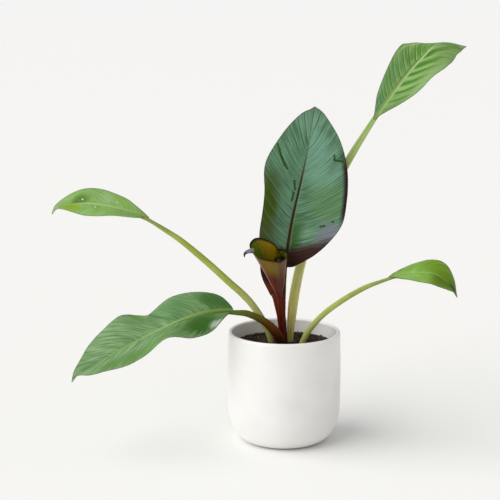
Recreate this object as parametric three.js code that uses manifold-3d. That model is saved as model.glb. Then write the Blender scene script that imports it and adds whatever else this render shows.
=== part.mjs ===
// Red abyssinian banana in a white pot. Millimetres, +Z up, origin in the middle of the pot's base,
// -Y towards the viewer. Every leaf is one grown piece: petiole, midrib and both half blades.
import * as THREE from "three";
import { mergeVertices } from "three/addons/utils/BufferGeometryUtils.js";
import Module from "manifold-3d";

const POT_HEIGHT = 128;
const POT_BASE_RADIUS = 35;
const POT_BELLY_RADIUS = 64.8;
const POT_RIM_RADIUS = 64;
const POT_WALL = 4;
const POT_CORNER_HEIGHT = 46;
const POT_CORNER_ROUNDNESS = 0.86;
const POT_WALL_SWELL = 2.4;
const POT_WALL_SHARES = [0.35, 0.7];
const POT_OUTER_STEPS = 7;
const POT_INNER_STEPS = 6;
const POT_RIM_ANGLES = [0, 45, 90, 135, 180];
const POT_FLOOR = 6;
const POT_SEGMENTS = 44;
const SOIL_TOP = 112;
const SOIL_GAP = 0.35;
const SOIL_RINGS = [0.62, 0.38, 0.16];
const SOIL_WAVE = { height: 0.8, x: 0.31, y: 0.27 };
const SOIL_RIPPLE = { height: 0.5, x: 0.83, y: 0.71 };
const SOIL_EDGE = 8;
const HOLE_GAP = 0.4;
const SHEATH_GAP = 0.35;
const BLADE_THICKNESS = 0.8;
const BLADE_LAST_ROW = 0.993;
const BLADE_LEAST_WIDTH = 0.3;
const VEIN_LEAD = 0.8;
const VEIN_LAG = 1.3;
const VEIN_SWEEP = 1.4;
const RIPPLE_REACH = 1.6;
const SPINE_DIVISIONS = 40;
const PETIOLE_RINGS = 13;
const MIDRIB_RINGS = 10;
const CHANNEL_END = -0.2;
const HOLE_END = -0.6;
const LEAF_ROUGHNESS = 0.5;

// Cross-section of a petiole for a radius of 1: round below, with a shallow channel on the upper
// side. The third number is the height of the same corner under the blade, where the channel closes.
const PETIOLE_SECTION = [
  [-1, 0.05, 0.05],
  [-0.7, 0.68, 0.4],
  [0, 0.5, 0.5],
  [0.7, 0.68, 0.4],
  [1, 0.05, 0.05],
  [0.75, -0.66, -0.66],
  [0, -1, -1],
  [-0.75, -0.66, -0.66],
];
const MIDRIB_DROP = 0.55;

// petiole and midrib are points of one spine; girth is [place, radius], with place -1 at the foot,
// 0 where the blade starts and 1 at the tip. Edges are [share of the midrib, half width], tilt is
// [share, left, right, left curl, right curl] in degrees, reach is the width over which a curl acts.
const LEAVES = {
  leaf_high_left: {
    petiole: [
      [-9.5, 7, 90],
      [-18, 8.5, 125.5],
      [-38, 10.5, 158.5],
      [-65, 13.5, 184],
      [-93.5, 16.5, 209.5],
      [-123.5, 20, 233.5],
    ],
    midrib: [
      [-155, 24, 254.5],
      [-178, 26, 262],
      [-204, 28.5, 268],
      [-230, 30.5, 270.5],
      [-253.5, 31, 267.5],
      [-263, 30, 264],
      [-267.5, 29, 258],
    ],
    leftwards: [0, -1, 0],
    reach: 22,
    girth: [
      [-1, 3.5],
      [-0.75, 4.5],
      [-0.35, 4.2],
      [-0.12, 3.4],
      [0, 2.8],
      [0.5, 1.4],
      [1, 0.6],
    ],
    leftEdge: [
      [0, 2],
      [0.06, 6],
      [0.12, 9.5],
      [0.25, 15],
      [0.38, 18],
      [0.5, 19.5],
      [0.62, 18.5],
      [0.75, 13],
      [0.88, 5.5],
      [0.95, 1],
      [1, 0],
    ],
    rightEdge: [
      [0, 2],
      [0.06, 5],
      [0.12, 8],
      [0.25, 15],
      [0.38, 19],
      [0.5, 22],
      [0.62, 21.5],
      [0.75, 16.5],
      [0.88, 9],
      [0.95, 3.6],
      [1, 0],
    ],
    tilt: [
      [0, -32, 57, -10, -10],
      [0.25, -17, 55, -15, -15],
      [0.5, -28, 54, -15, -15],
      [0.75, -35, 55, -15, -15],
      [1, -5, 31, -10, -10],
    ],
    rows: 15,
    columns: 5,
    colour: 0x4d8a3a,
  },
  leaf_low_left: {
    petiole: [
      [-1, -1.5, 90],
      [-1.5, -2, 109],
      [-9, -7.5, 127.5],
      [-22.5, -14, 142.5],
      [-39.5, -21.5, 152.5],
    ],
    midrib: [
      [-57.5, -29, 159],
      [-89, -41.5, 160],
      [-119, -53.5, 152.5],
      [-148.5, -65.5, 140.5],
      [-177.5, -76, 127.5],
      [-206, -85, 112.5],
      [-224.5, -90.5, 103.5],
      [-232.5, -92, 93.5],
    ],
    leftwards: [0.35, -1, 0],
    reach: 32,
    girth: [
      [-1, 4.8],
      [-0.8, 5],
      [-0.62, 6.3],
      [-0.42, 5.3],
      [-0.25, 4.5],
      [0, 3.7],
      [0.5, 2],
      [1, 0.7],
    ],
    leftEdge: [
      [0, 2],
      [0.06, 9.5],
      [0.15, 23.5],
      [0.28, 28.5],
      [0.42, 27.5],
      [0.56, 25],
      [0.7, 22],
      [0.82, 14.5],
      [0.9, 10.5],
      [0.96, 1.6],
      [1, 0],
    ],
    rightEdge: [
      [0, 2],
      [0.06, 18],
      [0.15, 26.5],
      [0.28, 31.5],
      [0.379, 33],
      [0.414, 35],
      [0.439, 36],
      [0.464, 38],
      [0.499, 38.5],
      [0.6, 38.5],
      [0.72, 32.5],
      [0.84, 21.5],
      [0.92, 8.5],
      [0.965, 3.4],
      [1, 0],
    ],
    tilt: [
      [0, -29, 48, 0, 0],
      [0.15, -52, 45, 0, -5],
      [0.3, -40, 45, 5, -10],
      [0.45, -15, 21, 5, -15],
      [0.6, -31, 49, -5, -15],
      [0.8, -36, 47, -10, -15],
      [1, -23, 56, -10, -10],
    ],
    leftRipple: [
      [0, 0],
      [0.25, -1],
      [0.4, 2],
      [0.6, -1],
      [0.8, 0.5],
      [1, 0],
    ],
    rightRipple: [
      [0, 0],
      [0.2, 0],
      [0.31, 1],
      [0.36, 1],
      [0.41, 3],
      [0.6, -1.5],
      [0.7, 0],
      [1, 0],
    ],
    rows: 22,
    columns: 6,
    colour: 0x4f8f45,
  },
  leaf_upright: {
    petiole: [[-0.5, 4.5, 151]],
    midrib: [
      [-0.5, 5, 162.5],
      [2, 9.5, 207.5],
      [8.5, 16.5, 251.5],
      [18.5, 26, 294.5],
      [28, 36, 337],
      [35, 47, 380.5],
    ],
    leftwards: [-1, 0, 0],
    reach: 50,
    girth: [
      [-1, 2.2],
      [0, 2.2],
      [0.7, 1.1],
      [1, 0.6],
    ],
    leftEdge: [
      [0, 2],
      [0.02, 14.5],
      [0.05, 19],
      [0.12, 27],
      [0.22, 31],
      [0.35, 38],
      [0.5, 42],
      [0.64, 46.5],
      [0.77, 38],
      [0.88, 26.5],
      [0.96, 12.5],
      [0.985, 3.8],
      [1, 0],
    ],
    rightEdge: [
      [0.168, 2],
      [0.174, 9.5],
      [0.19, 16],
      [0.215, 24.5],
      [0.25, 34.5],
      [0.32, 47],
      [0.43, 57.5],
      [0.57, 56],
      [0.71, 49.5],
      [0.84, 35.5],
      [0.93, 20],
      [0.98, 9],
      [1, 0],
    ],
    tilt: [
      [0, 1, 30, 0, 0],
      [0.2, 5, 26, 0, 5],
      [0.4, 32, 12, -10, 5],
      [0.6, 26, 4, -10, 0],
      [0.8, 7, 5, -5, -5],
      [1, 0, 5, 0, -5],
    ],
    rows: 20,
    columns: 7,
    colour: 0x557f63,
  },
  leaf_high_right: {
    petiole: [
      [6.5, 10, 90],
      [8, 11, 130],
      [12.5, 15.5, 170],
      [25, 26, 220],
      [46.5, 38.5, 265],
      [73.5, 53.5, 315],
    ],
    midrib: [
      [105.5, 71, 364],
      [122, 80, 385.5],
      [139, 89, 406.5],
      [155, 98, 424.5],
      [167.5, 105.5, 436.5],
      [179, 113.5, 446.5],
      [197, 125.5, 450.5],
      [222, 138, 446],
    ],
    leftwards: [-0.85, 0.2, 0.5],
    reach: 30,
    girth: [
      [-1, 3.2],
      [-0.91, 3.6],
      [-0.86, 4.6],
      [-0.78, 5.6],
      [-0.5, 5.2],
      [-0.2, 4.5],
      [-0.07, 3.5],
      [0, 3],
      [0.5, 1.5],
      [1, 0.6],
    ],
    leftEdge: [
      [0, 2],
      [0.04, 5],
      [0.08, 8],
      [0.14, 13],
      [0.2, 16.5],
      [0.34, 23],
      [0.48, 28],
      [0.62, 29.5],
      [0.76, 21],
      [0.9, 10.5],
      [1, 0],
    ],
    rightEdge: [
      [0, 2],
      [0.04, 4],
      [0.08, 7],
      [0.14, 11.5],
      [0.2, 16],
      [0.34, 24],
      [0.48, 27],
      [0.62, 29.5],
      [0.76, 28],
      [0.9, 16],
      [0.96, 6.5],
      [1, 0],
    ],
    tilt: [
      [0, 8, 17, 0, 0],
      [0.25, 14, 11, -5, -5],
      [0.5, 8, 21, -10, -10],
      [0.75, -36, 3, -15, -15],
      [1, -26, -7, -10, -10],
    ],
    rows: 18,
    columns: 6,
    colour: 0x74a05a,
  },
  leaf_low_right: {
    petiole: [
      [15.5, -3, 92],
      [23, -5.5, 121.5],
      [40.5, -10, 146.5],
      [63.5, -16.5, 166.5],
      [88, -24, 183],
    ],
    midrib: [
      [114.5, -32, 197],
      [131, -37, 201.5],
      [147.5, -42, 204],
      [164.5, -47.5, 203.5],
      [178.5, -52.5, 194],
      [188.5, -56, 179.5],
    ],
    leftwards: [0.3, 1, 0],
    reach: 20,
    girth: [
      [-1, 4],
      [-0.5, 3.8],
      [-0.25, 3.4],
      [0, 2.5],
      [0.5, 1.3],
      [1, 0.6],
    ],
    leftEdge: [
      [0, 2],
      [0.05, 5],
      [0.12, 7],
      [0.25, 12],
      [0.38, 16],
      [0.5, 19],
      [0.62, 20],
      [0.75, 14],
      [0.86, 8.5],
      [0.94, 4],
      [1, 0],
    ],
    rightEdge: [
      [0, 2],
      [0.05, 4.5],
      [0.12, 7],
      [0.25, 12.5],
      [0.38, 16],
      [0.5, 17.5],
      [0.62, 16.5],
      [0.75, 13.5],
      [0.86, 8.5],
      [0.94, 1],
      [1, 0],
    ],
    tilt: [
      [0, 37, -22, -5, -5],
      [0.25, 39, -18, -10, -10],
      [0.5, 47, -22, -15, -15],
      [0.75, 41, -26, -15, -15],
      [1, 11, -3, -10, -10],
    ],
    rows: 15,
    columns: 5,
    colour: 0x5f9a3c,
  },
};

// Rolled sheaths below the upright leaf: [x, y, z, half width, half depth].
const STEM_RINGS = [
  [-0.2, 3.5, 86, 5.2, 5.2],
  [-0.4, 3.5, 110, 5, 5.2],
  [-0.8, 3.5, 120.5, 4.8, 5.2],
  [-2.2, 3.5, 133.6, 5.1, 5.4],
  [-3.5, 3.3, 145.3, 5.5, 5.8],
  [-5, 3.1, 157, 6.8, 6.3],
  [-5.8, 3, 163.5, 7.5, 6.5],
  [-6.8, 3.4, 168.5, 8.2, 6],
  [-7.2, 4, 171, 7.6, 4.8],
];
const STEM_SIDES = 16;

// The furled leaf is a sheet rolled round the line FOOT-MOUTH: [angle, radius, share of the line]
// at its rim, from the inner free edge to the outer one.
const FURL_FOOT = [-5, 0, 163];
const FURL_MOUTH = [-17.3, -15, 224.6];
const FURL_RIM = [
  [-60, 13.5, 0.88],
  [0, 11.6, 0.86],
  [45, 13.1, 1.02],
  [90, 17, 1.14],
  [135, 17.1, 1.2],
  [180, 20.7, 1.12],
  [215, 23.8, 1.01],
  [235, 24.1, 0.93],
  [270, 20.5, 0.865],
  [305, 14.4, 0.815],
  [335, 17.1, 0.855],
  [360, 18.2, 0.875],
  [385, 20.4, 0.95],
  [420, 20.6, 0.975],
];
const FURL_CORE_RADIUS = 2;
const FURL_FLARE = 0.3;
const FURL_CORE_SHARES = [0, 0.08, 0.16, 0.24];
const FURL_CORE_SIDES = 18;
const FURL_OUTER_START = 60;
const FURL_SHEET_START = 0.16;
const FURL_SHEET_TURNS = 34;
const FURL_SHEET_ROWS = 5;
const FURL_PEG_SIDES = 12;
const FURL_PEG = [
  [-4.6, 1.4, 151],
  [-5, 0.4, 158],
  [-5, 0, 164],
];
const FURL_LIP_SIDES = 8;
const FURL_LIP_HALF_THICKNESS = 0.9;
// Pointed lip of the furled leaf: [x, y, z, radius].
const FURL_LIP = [
  [-34.8, -26, 225.8, 3],
  [-40.9, -28.5, 225.5, 2.4],
  [-45, -30, 223.1, 1.4],
  [-45.4, -31, 219.4, 0.5],
];

const { Manifold, Mesh } = await startManifold();

async function startManifold() {
  const wasm = await Module();
  wasm.setup();
  return wasm;
}

const vector = (p) => new THREE.Vector3(p[0], p[1], p[2]);
const radians = THREE.MathUtils.degToRad;

// Smooth values through keys [place, value, ...] at a place.
function between(keys, place) {
  const x = THREE.MathUtils.clamp(place, keys[0][0], keys[keys.length - 1][0]);
  let i = 0;
  while (i < keys.length - 2 && x >= keys[i + 1][0]) i += 1;
  const slope = (k, column) => {
    const a = keys[Math.max(k - 1, 0)];
    const b = keys[Math.min(k + 1, keys.length - 1)];
    return (b[column] - a[column]) / (b[0] - a[0]);
  };
  const span = keys[i + 1][0] - keys[i][0];
  const u = (x - keys[i][0]) / span;
  return keys[i].slice(1).map((_, k) => {
    const from = keys[i][k + 1];
    const to = keys[i + 1][k + 1];
    const blend = u * u * (3 - 2 * u);
    const start = slope(i, k + 1) * span * u * (1 - u) * (1 - u);
    const end = slope(i + 1, k + 1) * span * u * u * (u - 1);
    return from + (to - from) * blend + start + end;
  });
}

// A solid from points and triangles given as indices.
function solid(points, triangles) {
  const flat = triangles.flatMap((t) => t.flatMap((i) => points[i].toArray()));
  const geometry = new THREE.BufferGeometry();
  geometry.setAttribute("position", new THREE.Float32BufferAttribute(flat, 3));
  const merged = mergeVertices(geometry, 1e-4);
  const made = new Manifold(
    new Mesh({
      numProp: 3,
      vertProperties: merged.attributes.position.array,
      triVerts: new Uint32Array(merged.index.array),
    }),
  );
  if (made.volume() < 0) {
    throw new Error("a solid is inside out");
  }
  return made;
}

// Closed tube through rings of points, each ring counter-clockwise as seen from the last ring's end.
function loft(rings) {
  const sides = rings[0].length;
  const points = rings.flat();
  const triangles = [];
  for (let i = 0; i + 1 < rings.length; i += 1) {
    for (let j = 0; j < sides; j += 1) {
      const a = i * sides + j;
      const b = i * sides + ((j + 1) % sides);
      triangles.push([a, b, b + sides], [a, b + sides, a + sides]);
    }
  }
  const middle = (ring) =>
    ring
      .reduce((sum, p) => sum.add(p), new THREE.Vector3())
      .divideScalar(ring.length);
  const foot = points.push(middle(rings[0])) - 1;
  const head = points.push(middle(rings[rings.length - 1])) - 1;
  const top = (rings.length - 1) * sides;
  for (let j = 0; j < sides; j += 1) {
    const next = (j + 1) % sides;
    triangles.push([foot, next, j], [head, top + j, top + next]);
  }
  return solid(points, triangles);
}

// Sheet of even thickness about a grid of points; both faces are split along the same diagonals.
function thicken(grid, thickness) {
  const rows = grid.length;
  const columns = grid[0].length;
  const normal = (i, j) => {
    const along = grid[Math.min(i + 1, rows - 1)][j]
      .clone()
      .sub(grid[Math.max(i - 1, 0)][j]);
    const across = grid[i][Math.min(j + 1, columns - 1)]
      .clone()
      .sub(grid[i][Math.max(j - 1, 0)]);
    return along.cross(across).normalize();
  };
  const faces = [1, -1].map((side) =>
    grid.flatMap((row, i) =>
      row.map((p, j) =>
        p.clone().addScaledVector(normal(i, j), (side * thickness) / 2),
      ),
    ),
  );
  const points = faces.flat();
  const under = rows * columns;
  const triangles = [];
  for (let i = 0; i + 1 < rows; i += 1) {
    for (let j = 0; j + 1 < columns; j += 1) {
      const a = i * columns + j;
      const b = a + columns;
      triangles.push([a, b, b + 1], [a, b + 1, a + 1]);
      triangles.push([a + under, b + 1 + under, b + under]);
      triangles.push([a + under, a + 1 + under, b + 1 + under]);
    }
  }
  const border = [];
  for (let i = 0; i + 1 < rows; i += 1) border.push(i * columns);
  for (let j = 0; j + 1 < columns; j += 1)
    border.push((rows - 1) * columns + j);
  for (let i = rows - 1; i > 0; i -= 1) border.push(i * columns + columns - 1);
  for (let j = columns - 1; j > 0; j -= 1) border.push(j);
  border.forEach((a, k) => {
    const b = border[(k + 1) % border.length];
    triangles.push([a, a + under, b + under], [a, b + under, b]);
  });
  return solid(points, triangles);
}

// Curve of a leaf from its foot to its tip, with the frame at any place from -1 to 1.
class Spine {
  constructor(leaf) {
    const points = [...leaf.petiole, ...leaf.midrib].map(vector);
    this.curve = new THREE.CatmullRomCurve3(points);
    this.curve.arcLengthDivisions = SPINE_DIVISIONS * (points.length - 1);
    const lengths = this.curve.getLengths();
    this.total = this.curve.getLength();
    this.start = lengths[SPINE_DIVISIONS * leaf.petiole.length] / this.total;
    this.leftwards = vector(leaf.leftwards).normalize();
  }

  bladeLength() {
    return this.total * (1 - this.start);
  }

  frame(place) {
    const share =
      place < 0
        ? this.start * (1 + place)
        : this.start + (1 - this.start) * place;
    const point = this.curve.getPointAt(share);
    const tangent = this.curve.getTangentAt(share);
    const left = this.leftwards
      .clone()
      .addScaledVector(tangent, -tangent.dot(this.leftwards))
      .normalize();
    const up = new THREE.Vector3().crossVectors(tangent, left);
    return { point, left, up };
  }
}

// Point of a blade: width mm out from the midrib along an arc, on side 1 (left) or -1 (right).
function bladePoint(leaf, spine, share, width, side, lift) {
  const { point, left, up } = spine.frame(share);
  const [tiltLeft, tiltRight, curlLeft, curlRight] = between(leaf.tilt, share);
  const tilt = radians(side > 0 ? tiltLeft : tiltRight);
  const curl =
    (radians(side > 0 ? curlLeft : curlRight) * width) / leaf.reach || 1e-4;
  const out = (width * (Math.sin(tilt + curl) - Math.sin(tilt))) / curl;
  const rise = (width * (Math.cos(tilt) - Math.cos(tilt + curl))) / curl;
  const across = out - lift * Math.sin(tilt + curl);
  const above = rise + lift * Math.cos(tilt + curl);
  return point.addScaledVector(left, side * across).addScaledVector(up, above);
}

// One half of a blade; the rows of its grid run like veins from the midrib forward to the edge.
function halfBlade(leaf, spine, side) {
  const edge = side > 0 ? leaf.leftEdge : leaf.rightEdge;
  const ripple = side > 0 ? leaf.leftRipple : leaf.rightRipple;
  const length = spine.bladeLength();
  const outline = new THREE.CatmullRomCurve3(
    edge.map(([share, width]) => new THREE.Vector3(share * length, width, 0)),
  );
  const grid = [];
  for (let i = 0; i < leaf.rows; i += 1) {
    const q = (BLADE_LAST_ROW * i) / (leaf.rows - 1);
    const end = outline.getPointAt(q ** VEIN_LEAD);
    const from = edge[0][0] + (1 - edge[0][0]) * q ** VEIN_LAG;
    const to = end.x / length;
    const lift = ripple ? between(ripple, q)[0] : 0;
    const row = [];
    for (let j = 0; j < leaf.columns; j += 1) {
      const v = j / (leaf.columns - 1);
      const share = from + (to - from) * v ** VEIN_SWEEP;
      const width = Math.max(end.y, BLADE_LEAST_WIDTH) * v;
      const rise = lift * v ** RIPPLE_REACH;
      row.push(bladePoint(leaf, spine, share, width, side, rise));
    }
    grid.push(side > 0 ? row.reverse() : row);
  }
  return thicken(grid, BLADE_THICKNESS);
}

// Petiole and midrib as one tube. Along the blade it hangs below the leaf's upper face.
function petioleTube(leaf, spine, grow = 0, stopAt = 1) {
  const places = [];
  const low = leaf.petiole.length > 1 ? PETIOLE_RINGS : 2;
  for (let i = 0; i < low; i += 1) places.push(-1 + i / low);
  for (let i = 0; i <= MIDRIB_RINGS; i += 1) places.push(i / MIDRIB_RINGS);
  const rings = places
    .filter((place) => place <= stopAt)
    .map((place) => {
      const { point, left, up } = spine.frame(place);
      const radius = between(leaf.girth, place)[0] + grow;
      const blade = THREE.MathUtils.smoothstep(place, CHANNEL_END, 0);
      return PETIOLE_SECTION.map(([x, open, closed]) => {
        const y = open + (closed - open - MIDRIB_DROP) * blade;
        return point
          .clone()
          .addScaledVector(left, -x * radius)
          .addScaledVector(up, y * radius);
      });
    });
  if (grow > 0) {
    const down = spine.curve.getTangentAt(0).multiplyScalar(-grow);
    rings[0].forEach((p) => p.add(down));
  }
  return loft(rings);
}

// The outer skin of a union: it fills the closed pockets left where blade and midrib meet.
function joined(pieces) {
  const bodies = Manifold.union(pieces).decompose();
  return bodies.reduce((a, b) => (b.volume() > a.volume() ? b : a));
}

function wholeLeaf(leaf, spine) {
  return joined([
    petioleTube(leaf, spine),
    halfBlade(leaf, spine, 1),
    halfBlade(leaf, spine, -1),
  ]);
}

function ellipse(x, y, z, halfWidth, halfDepth, sides) {
  return Array.from({ length: sides }, (_, i) => {
    const angle = (2 * Math.PI * i) / sides;
    return new THREE.Vector3(
      x + halfWidth * Math.cos(angle),
      y + halfDepth * Math.sin(angle),
      z,
    );
  });
}

function stem(grow = 0) {
  return loft(
    STEM_RINGS.map(([x, y, z, width, depth], i) => {
      const end = i === 0 ? -grow : i === STEM_RINGS.length - 1 ? grow : 0;
      return ellipse(x, y, z + end, width + grow, depth + grow, STEM_SIDES);
    }),
  );
}

// Round tube through [x, y, z, radius], with level rings.
function taperedTube(points, sides, grow = 0) {
  return loft(
    points.map(([x, y, z, r]) => ellipse(x, y, z, r + grow, r + grow, sides)),
  );
}

// Point of the rolled sheet at an angle and at a share of the way from the foot to the rim.
function furlPoint(angle, share, grow = 0) {
  const [rimRadius, height] = between(FURL_RIM, angle);
  const turn = radians(angle);
  const widening = share ** (1 + FURL_FLARE * Math.max(0, -Math.cos(turn)));
  const radius =
    FURL_CORE_RADIUS + (rimRadius - FURL_CORE_RADIUS) * widening + grow;
  return vector(FURL_FOOT)
    .lerp(vector(FURL_MOUTH), height * share)
    .add(
      new THREE.Vector3(
        radius * Math.cos(turn),
        radius * Math.sin(turn),
        0,
      ),
    );
}

function furlCore(grow = 0) {
  const step = 360 / FURL_CORE_SIDES;
  const rings = FURL_CORE_SHARES.map((share) =>
    Array.from({ length: FURL_CORE_SIDES }, (_, i) =>
      furlPoint(FURL_OUTER_START + step * i, share, grow),
    ),
  );
  const peg = FURL_PEG.map(([x, y, z]) => [x, y, z, FURL_CORE_RADIUS]);
  peg[0][2] -= grow;
  return Manifold.union(loft(rings), taperedTube(peg, FURL_PEG_SIDES, grow));
}

function furledLeaf() {
  const first = FURL_RIM[0][0];
  const last = FURL_RIM[FURL_RIM.length - 1][0];
  const grid = [];
  for (let i = 0; i <= FURL_SHEET_TURNS; i += 1) {
    const angle = first + ((last - first) * i) / FURL_SHEET_TURNS;
    const row = [];
    for (let j = 0; j <= FURL_SHEET_ROWS; j += 1) {
      const climb = j / FURL_SHEET_ROWS;
      row.push(furlPoint(angle, FURL_SHEET_START + (1 - FURL_SHEET_START) * climb));
    }
    grid.push(row);
  }
  const rings = FURL_LIP.map(([x, y, z, r], i) => {
    const ahead = vector(FURL_LIP[Math.min(i + 1, FURL_LIP.length - 1)]);
    const back = vector(FURL_LIP[Math.max(i - 1, 0)]);
    const along = ahead.sub(back).normalize();
    const side = new THREE.Vector3(0, -1, 0).cross(along).normalize();
    const thick = new THREE.Vector3().crossVectors(along, side);
    return Array.from({ length: FURL_LIP_SIDES }, (_, k) => {
      const angle = (2 * Math.PI * k) / FURL_LIP_SIDES;
      const flat = Math.min(r, FURL_LIP_HALF_THICKNESS);
      return new THREE.Vector3(x, y, z)
        .addScaledVector(side, r * Math.cos(angle))
        .addScaledVector(thick, flat * Math.sin(angle));
    });
  });
  return joined([furlCore(), thicken(grid, BLADE_THICKNESS), loft(rings)]);
}

// Outer line of the pot from the base to the rim, moved inwards by an offset.
function potLine(offset, steps) {
  const line = [];
  for (let i = 0; i <= steps; i += 1) {
    const turn = ((Math.PI / 2) * i) / steps;
    const swell = POT_BELLY_RADIUS - POT_BASE_RADIUS;
    const out = Math.sin(turn) ** POT_CORNER_ROUNDNESS;
    const drop = Math.cos(turn) ** POT_CORNER_ROUNDNESS;
    const radius = POT_BASE_RADIUS + swell * out - offset;
    const height = POT_CORNER_HEIGHT * (1 - drop) + offset * Math.cos(turn);
    line.push(new THREE.Vector2(radius, height));
  }
  for (const share of POT_WALL_SHARES) {
    const radius =
      POT_BELLY_RADIUS +
      POT_WALL_SWELL * share * (1 - share) +
      (POT_RIM_RADIUS - POT_BELLY_RADIUS) * share;
    const height = POT_CORNER_HEIGHT + share * (POT_HEIGHT - POT_CORNER_HEIGHT);
    line.push(new THREE.Vector2(radius - offset, height));
  }
  return line;
}

// Solid of revolution from [radius, height] points that start and end on the axis; shape may move
// each of its points.
function turned(line, shape = () => {}) {
  const geometry = new THREE.LatheGeometry(line, POT_SEGMENTS);
  geometry.rotateX(Math.PI / 2);
  const bare = new THREE.BufferGeometry();
  bare.setAttribute("position", geometry.getAttribute("position"));
  bare.setIndex(geometry.index);
  const merged = mergeVertices(bare, 1e-3);
  const all = Array.from(merged.index.array);
  const triangles = [];
  for (let i = 0; i < all.length; i += 3) {
    const [a, b, c] = all.slice(i, i + 3);
    if (a !== b && b !== c && c !== a) triangles.push([a, b, c]);
  }
  const position = merged.attributes.position;
  const points = Array.from({ length: position.count }, (_, i) =>
    new THREE.Vector3().fromBufferAttribute(position, i),
  );
  points.forEach(shape);
  return solid(points, triangles);
}

function pot() {
  const outer = potLine(0, POT_OUTER_STEPS);
  const inner = potLine(POT_WALL, POT_INNER_STEPS).filter((p) => p.y > POT_FLOOR);
  const lip = POT_WALL / 2;
  const rim = POT_RIM_ANGLES.map(
    (angle) =>
      new THREE.Vector2(
        POT_RIM_RADIUS - lip + lip * Math.cos(radians(angle)),
        POT_HEIGHT - lip + lip * Math.sin(radians(angle)),
      ),
  );
  const line = [
    new THREE.Vector2(0, 0),
    ...outer,
    ...rim,
    ...inner.reverse(),
    new THREE.Vector2(inner[inner.length - 1].x, POT_FLOOR),
    new THREE.Vector2(0, POT_FLOOR),
  ];
  return turned(line);
}

// Potting mix: fills the pot up to an uneven top, with one hole for each stem.
function soil(stems) {
  const wall = potLine(POT_WALL + SOIL_GAP, POT_INNER_STEPS).filter(
    (p) => p.y > POT_FLOOR + 1 && p.y < SOIL_TOP - 6,
  );
  const side = POT_RIM_RADIUS - POT_WALL - SOIL_GAP;
  const line = [
    new THREE.Vector2(0, POT_FLOOR + SOIL_GAP),
    new THREE.Vector2(wall[0].x - 3, POT_FLOOR + SOIL_GAP),
    ...wall,
    new THREE.Vector2(side, SOIL_TOP - 1),
    new THREE.Vector2(side - SOIL_EDGE, SOIL_TOP),
    ...SOIL_RINGS.map((share) => new THREE.Vector2(side * share, SOIL_TOP)),
    new THREE.Vector2(0, SOIL_TOP),
  ];
  const body = turned(line, (p) => {
    if (p.z < SOIL_TOP - 2 || Math.hypot(p.x, p.y) > side - SOIL_EDGE / 2) return;
    const wave = Math.sin(p.x * SOIL_WAVE.x) * Math.cos(p.y * SOIL_WAVE.y);
    const ripple = Math.sin(p.x * SOIL_RIPPLE.x) * Math.cos(p.y * SOIL_RIPPLE.y);
    p.z += SOIL_WAVE.height * wave + SOIL_RIPPLE.height * ripple;
  });
  return Manifold.difference([body, ...stems]);
}

function meshOf(name, made, colour, roughness) {
  const from = made.getMesh();
  const positions = new Float32Array(from.numVert * 3);
  for (let i = 0; i < from.numVert; i += 1) {
    const at = i * from.numProp;
    positions.set(from.vertProperties.subarray(at, at + 3), i * 3);
  }
  const geometry = new THREE.BufferGeometry();
  geometry.setAttribute("position", new THREE.BufferAttribute(positions, 3));
  geometry.setIndex(new THREE.BufferAttribute(from.triVerts, 1));
  geometry.computeVertexNormals();
  const material = new THREE.MeshStandardMaterial({
    color: colour,
    roughness,
    metalness: 0,
  });
  const mesh = new THREE.Mesh(geometry, material);
  mesh.name = name;
  return mesh;
}

const root = new THREE.Group();
root.name = "potted_banana";
const holes = [stem(HOLE_GAP)];
for (const [name, leaf] of Object.entries(LEAVES)) {
  const spine = new Spine(leaf);
  let made = wholeLeaf(leaf, spine);
  if (name === "leaf_upright") {
    made = joined([made, stem()]).subtract(furlCore(SHEATH_GAP));
  } else {
    holes.push(petioleTube(leaf, spine, HOLE_GAP, HOLE_END));
  }
  if (name === "leaf_low_left") made = made.subtract(stem(SHEATH_GAP));
  root.add(meshOf(name, made, leaf.colour, LEAF_ROUGHNESS));
}
root.add(meshOf("leaf_furled", furledLeaf(), 0x6b4a35, LEAF_ROUGHNESS));
root.add(meshOf("soil", soil(holes), 0x2c2019, 1));
root.add(meshOf("pot", pot(), 0xf1efec, 0.35));

export default root;
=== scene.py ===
"""Finish of a potted red abyssinian banana: pot, potting mix, rolled sheaths and six leaves."""

import math
import random
from bisect import bisect_right
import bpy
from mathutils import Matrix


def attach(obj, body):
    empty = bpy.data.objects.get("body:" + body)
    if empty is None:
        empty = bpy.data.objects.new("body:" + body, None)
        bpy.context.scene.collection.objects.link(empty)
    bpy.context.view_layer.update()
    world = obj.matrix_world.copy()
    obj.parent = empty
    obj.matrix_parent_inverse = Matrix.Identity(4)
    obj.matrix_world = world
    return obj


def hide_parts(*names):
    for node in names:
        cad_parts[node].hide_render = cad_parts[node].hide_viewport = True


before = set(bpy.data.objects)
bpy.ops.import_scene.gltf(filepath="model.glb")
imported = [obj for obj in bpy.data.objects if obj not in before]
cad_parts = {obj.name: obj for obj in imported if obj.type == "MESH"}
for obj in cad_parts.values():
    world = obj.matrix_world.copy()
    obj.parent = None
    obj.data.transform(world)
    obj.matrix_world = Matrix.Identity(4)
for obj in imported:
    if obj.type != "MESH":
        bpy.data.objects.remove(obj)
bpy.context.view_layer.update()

from types import SimpleNamespace

import bmesh
import bpy
from mathutils import Matrix, Vector, noise
from mathutils.kdtree import KDTree

bl_info = {
    "name": "Potted Banana Plant",
    "version": (1, 0, 0),
    "blender": (4, 5, 0),
    "location": "View3D > Sidebar > Banana",
    "description": "Makes a young red-leaved banana plant in its pot, piece by piece",
    "category": "Object",
}

# Lengths are in millimetres up to the moment a mesh is finished, which scales it by MM.
MM = 0.001
MERGE = 1e-4
SHARP = math.radians(50)

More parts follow.
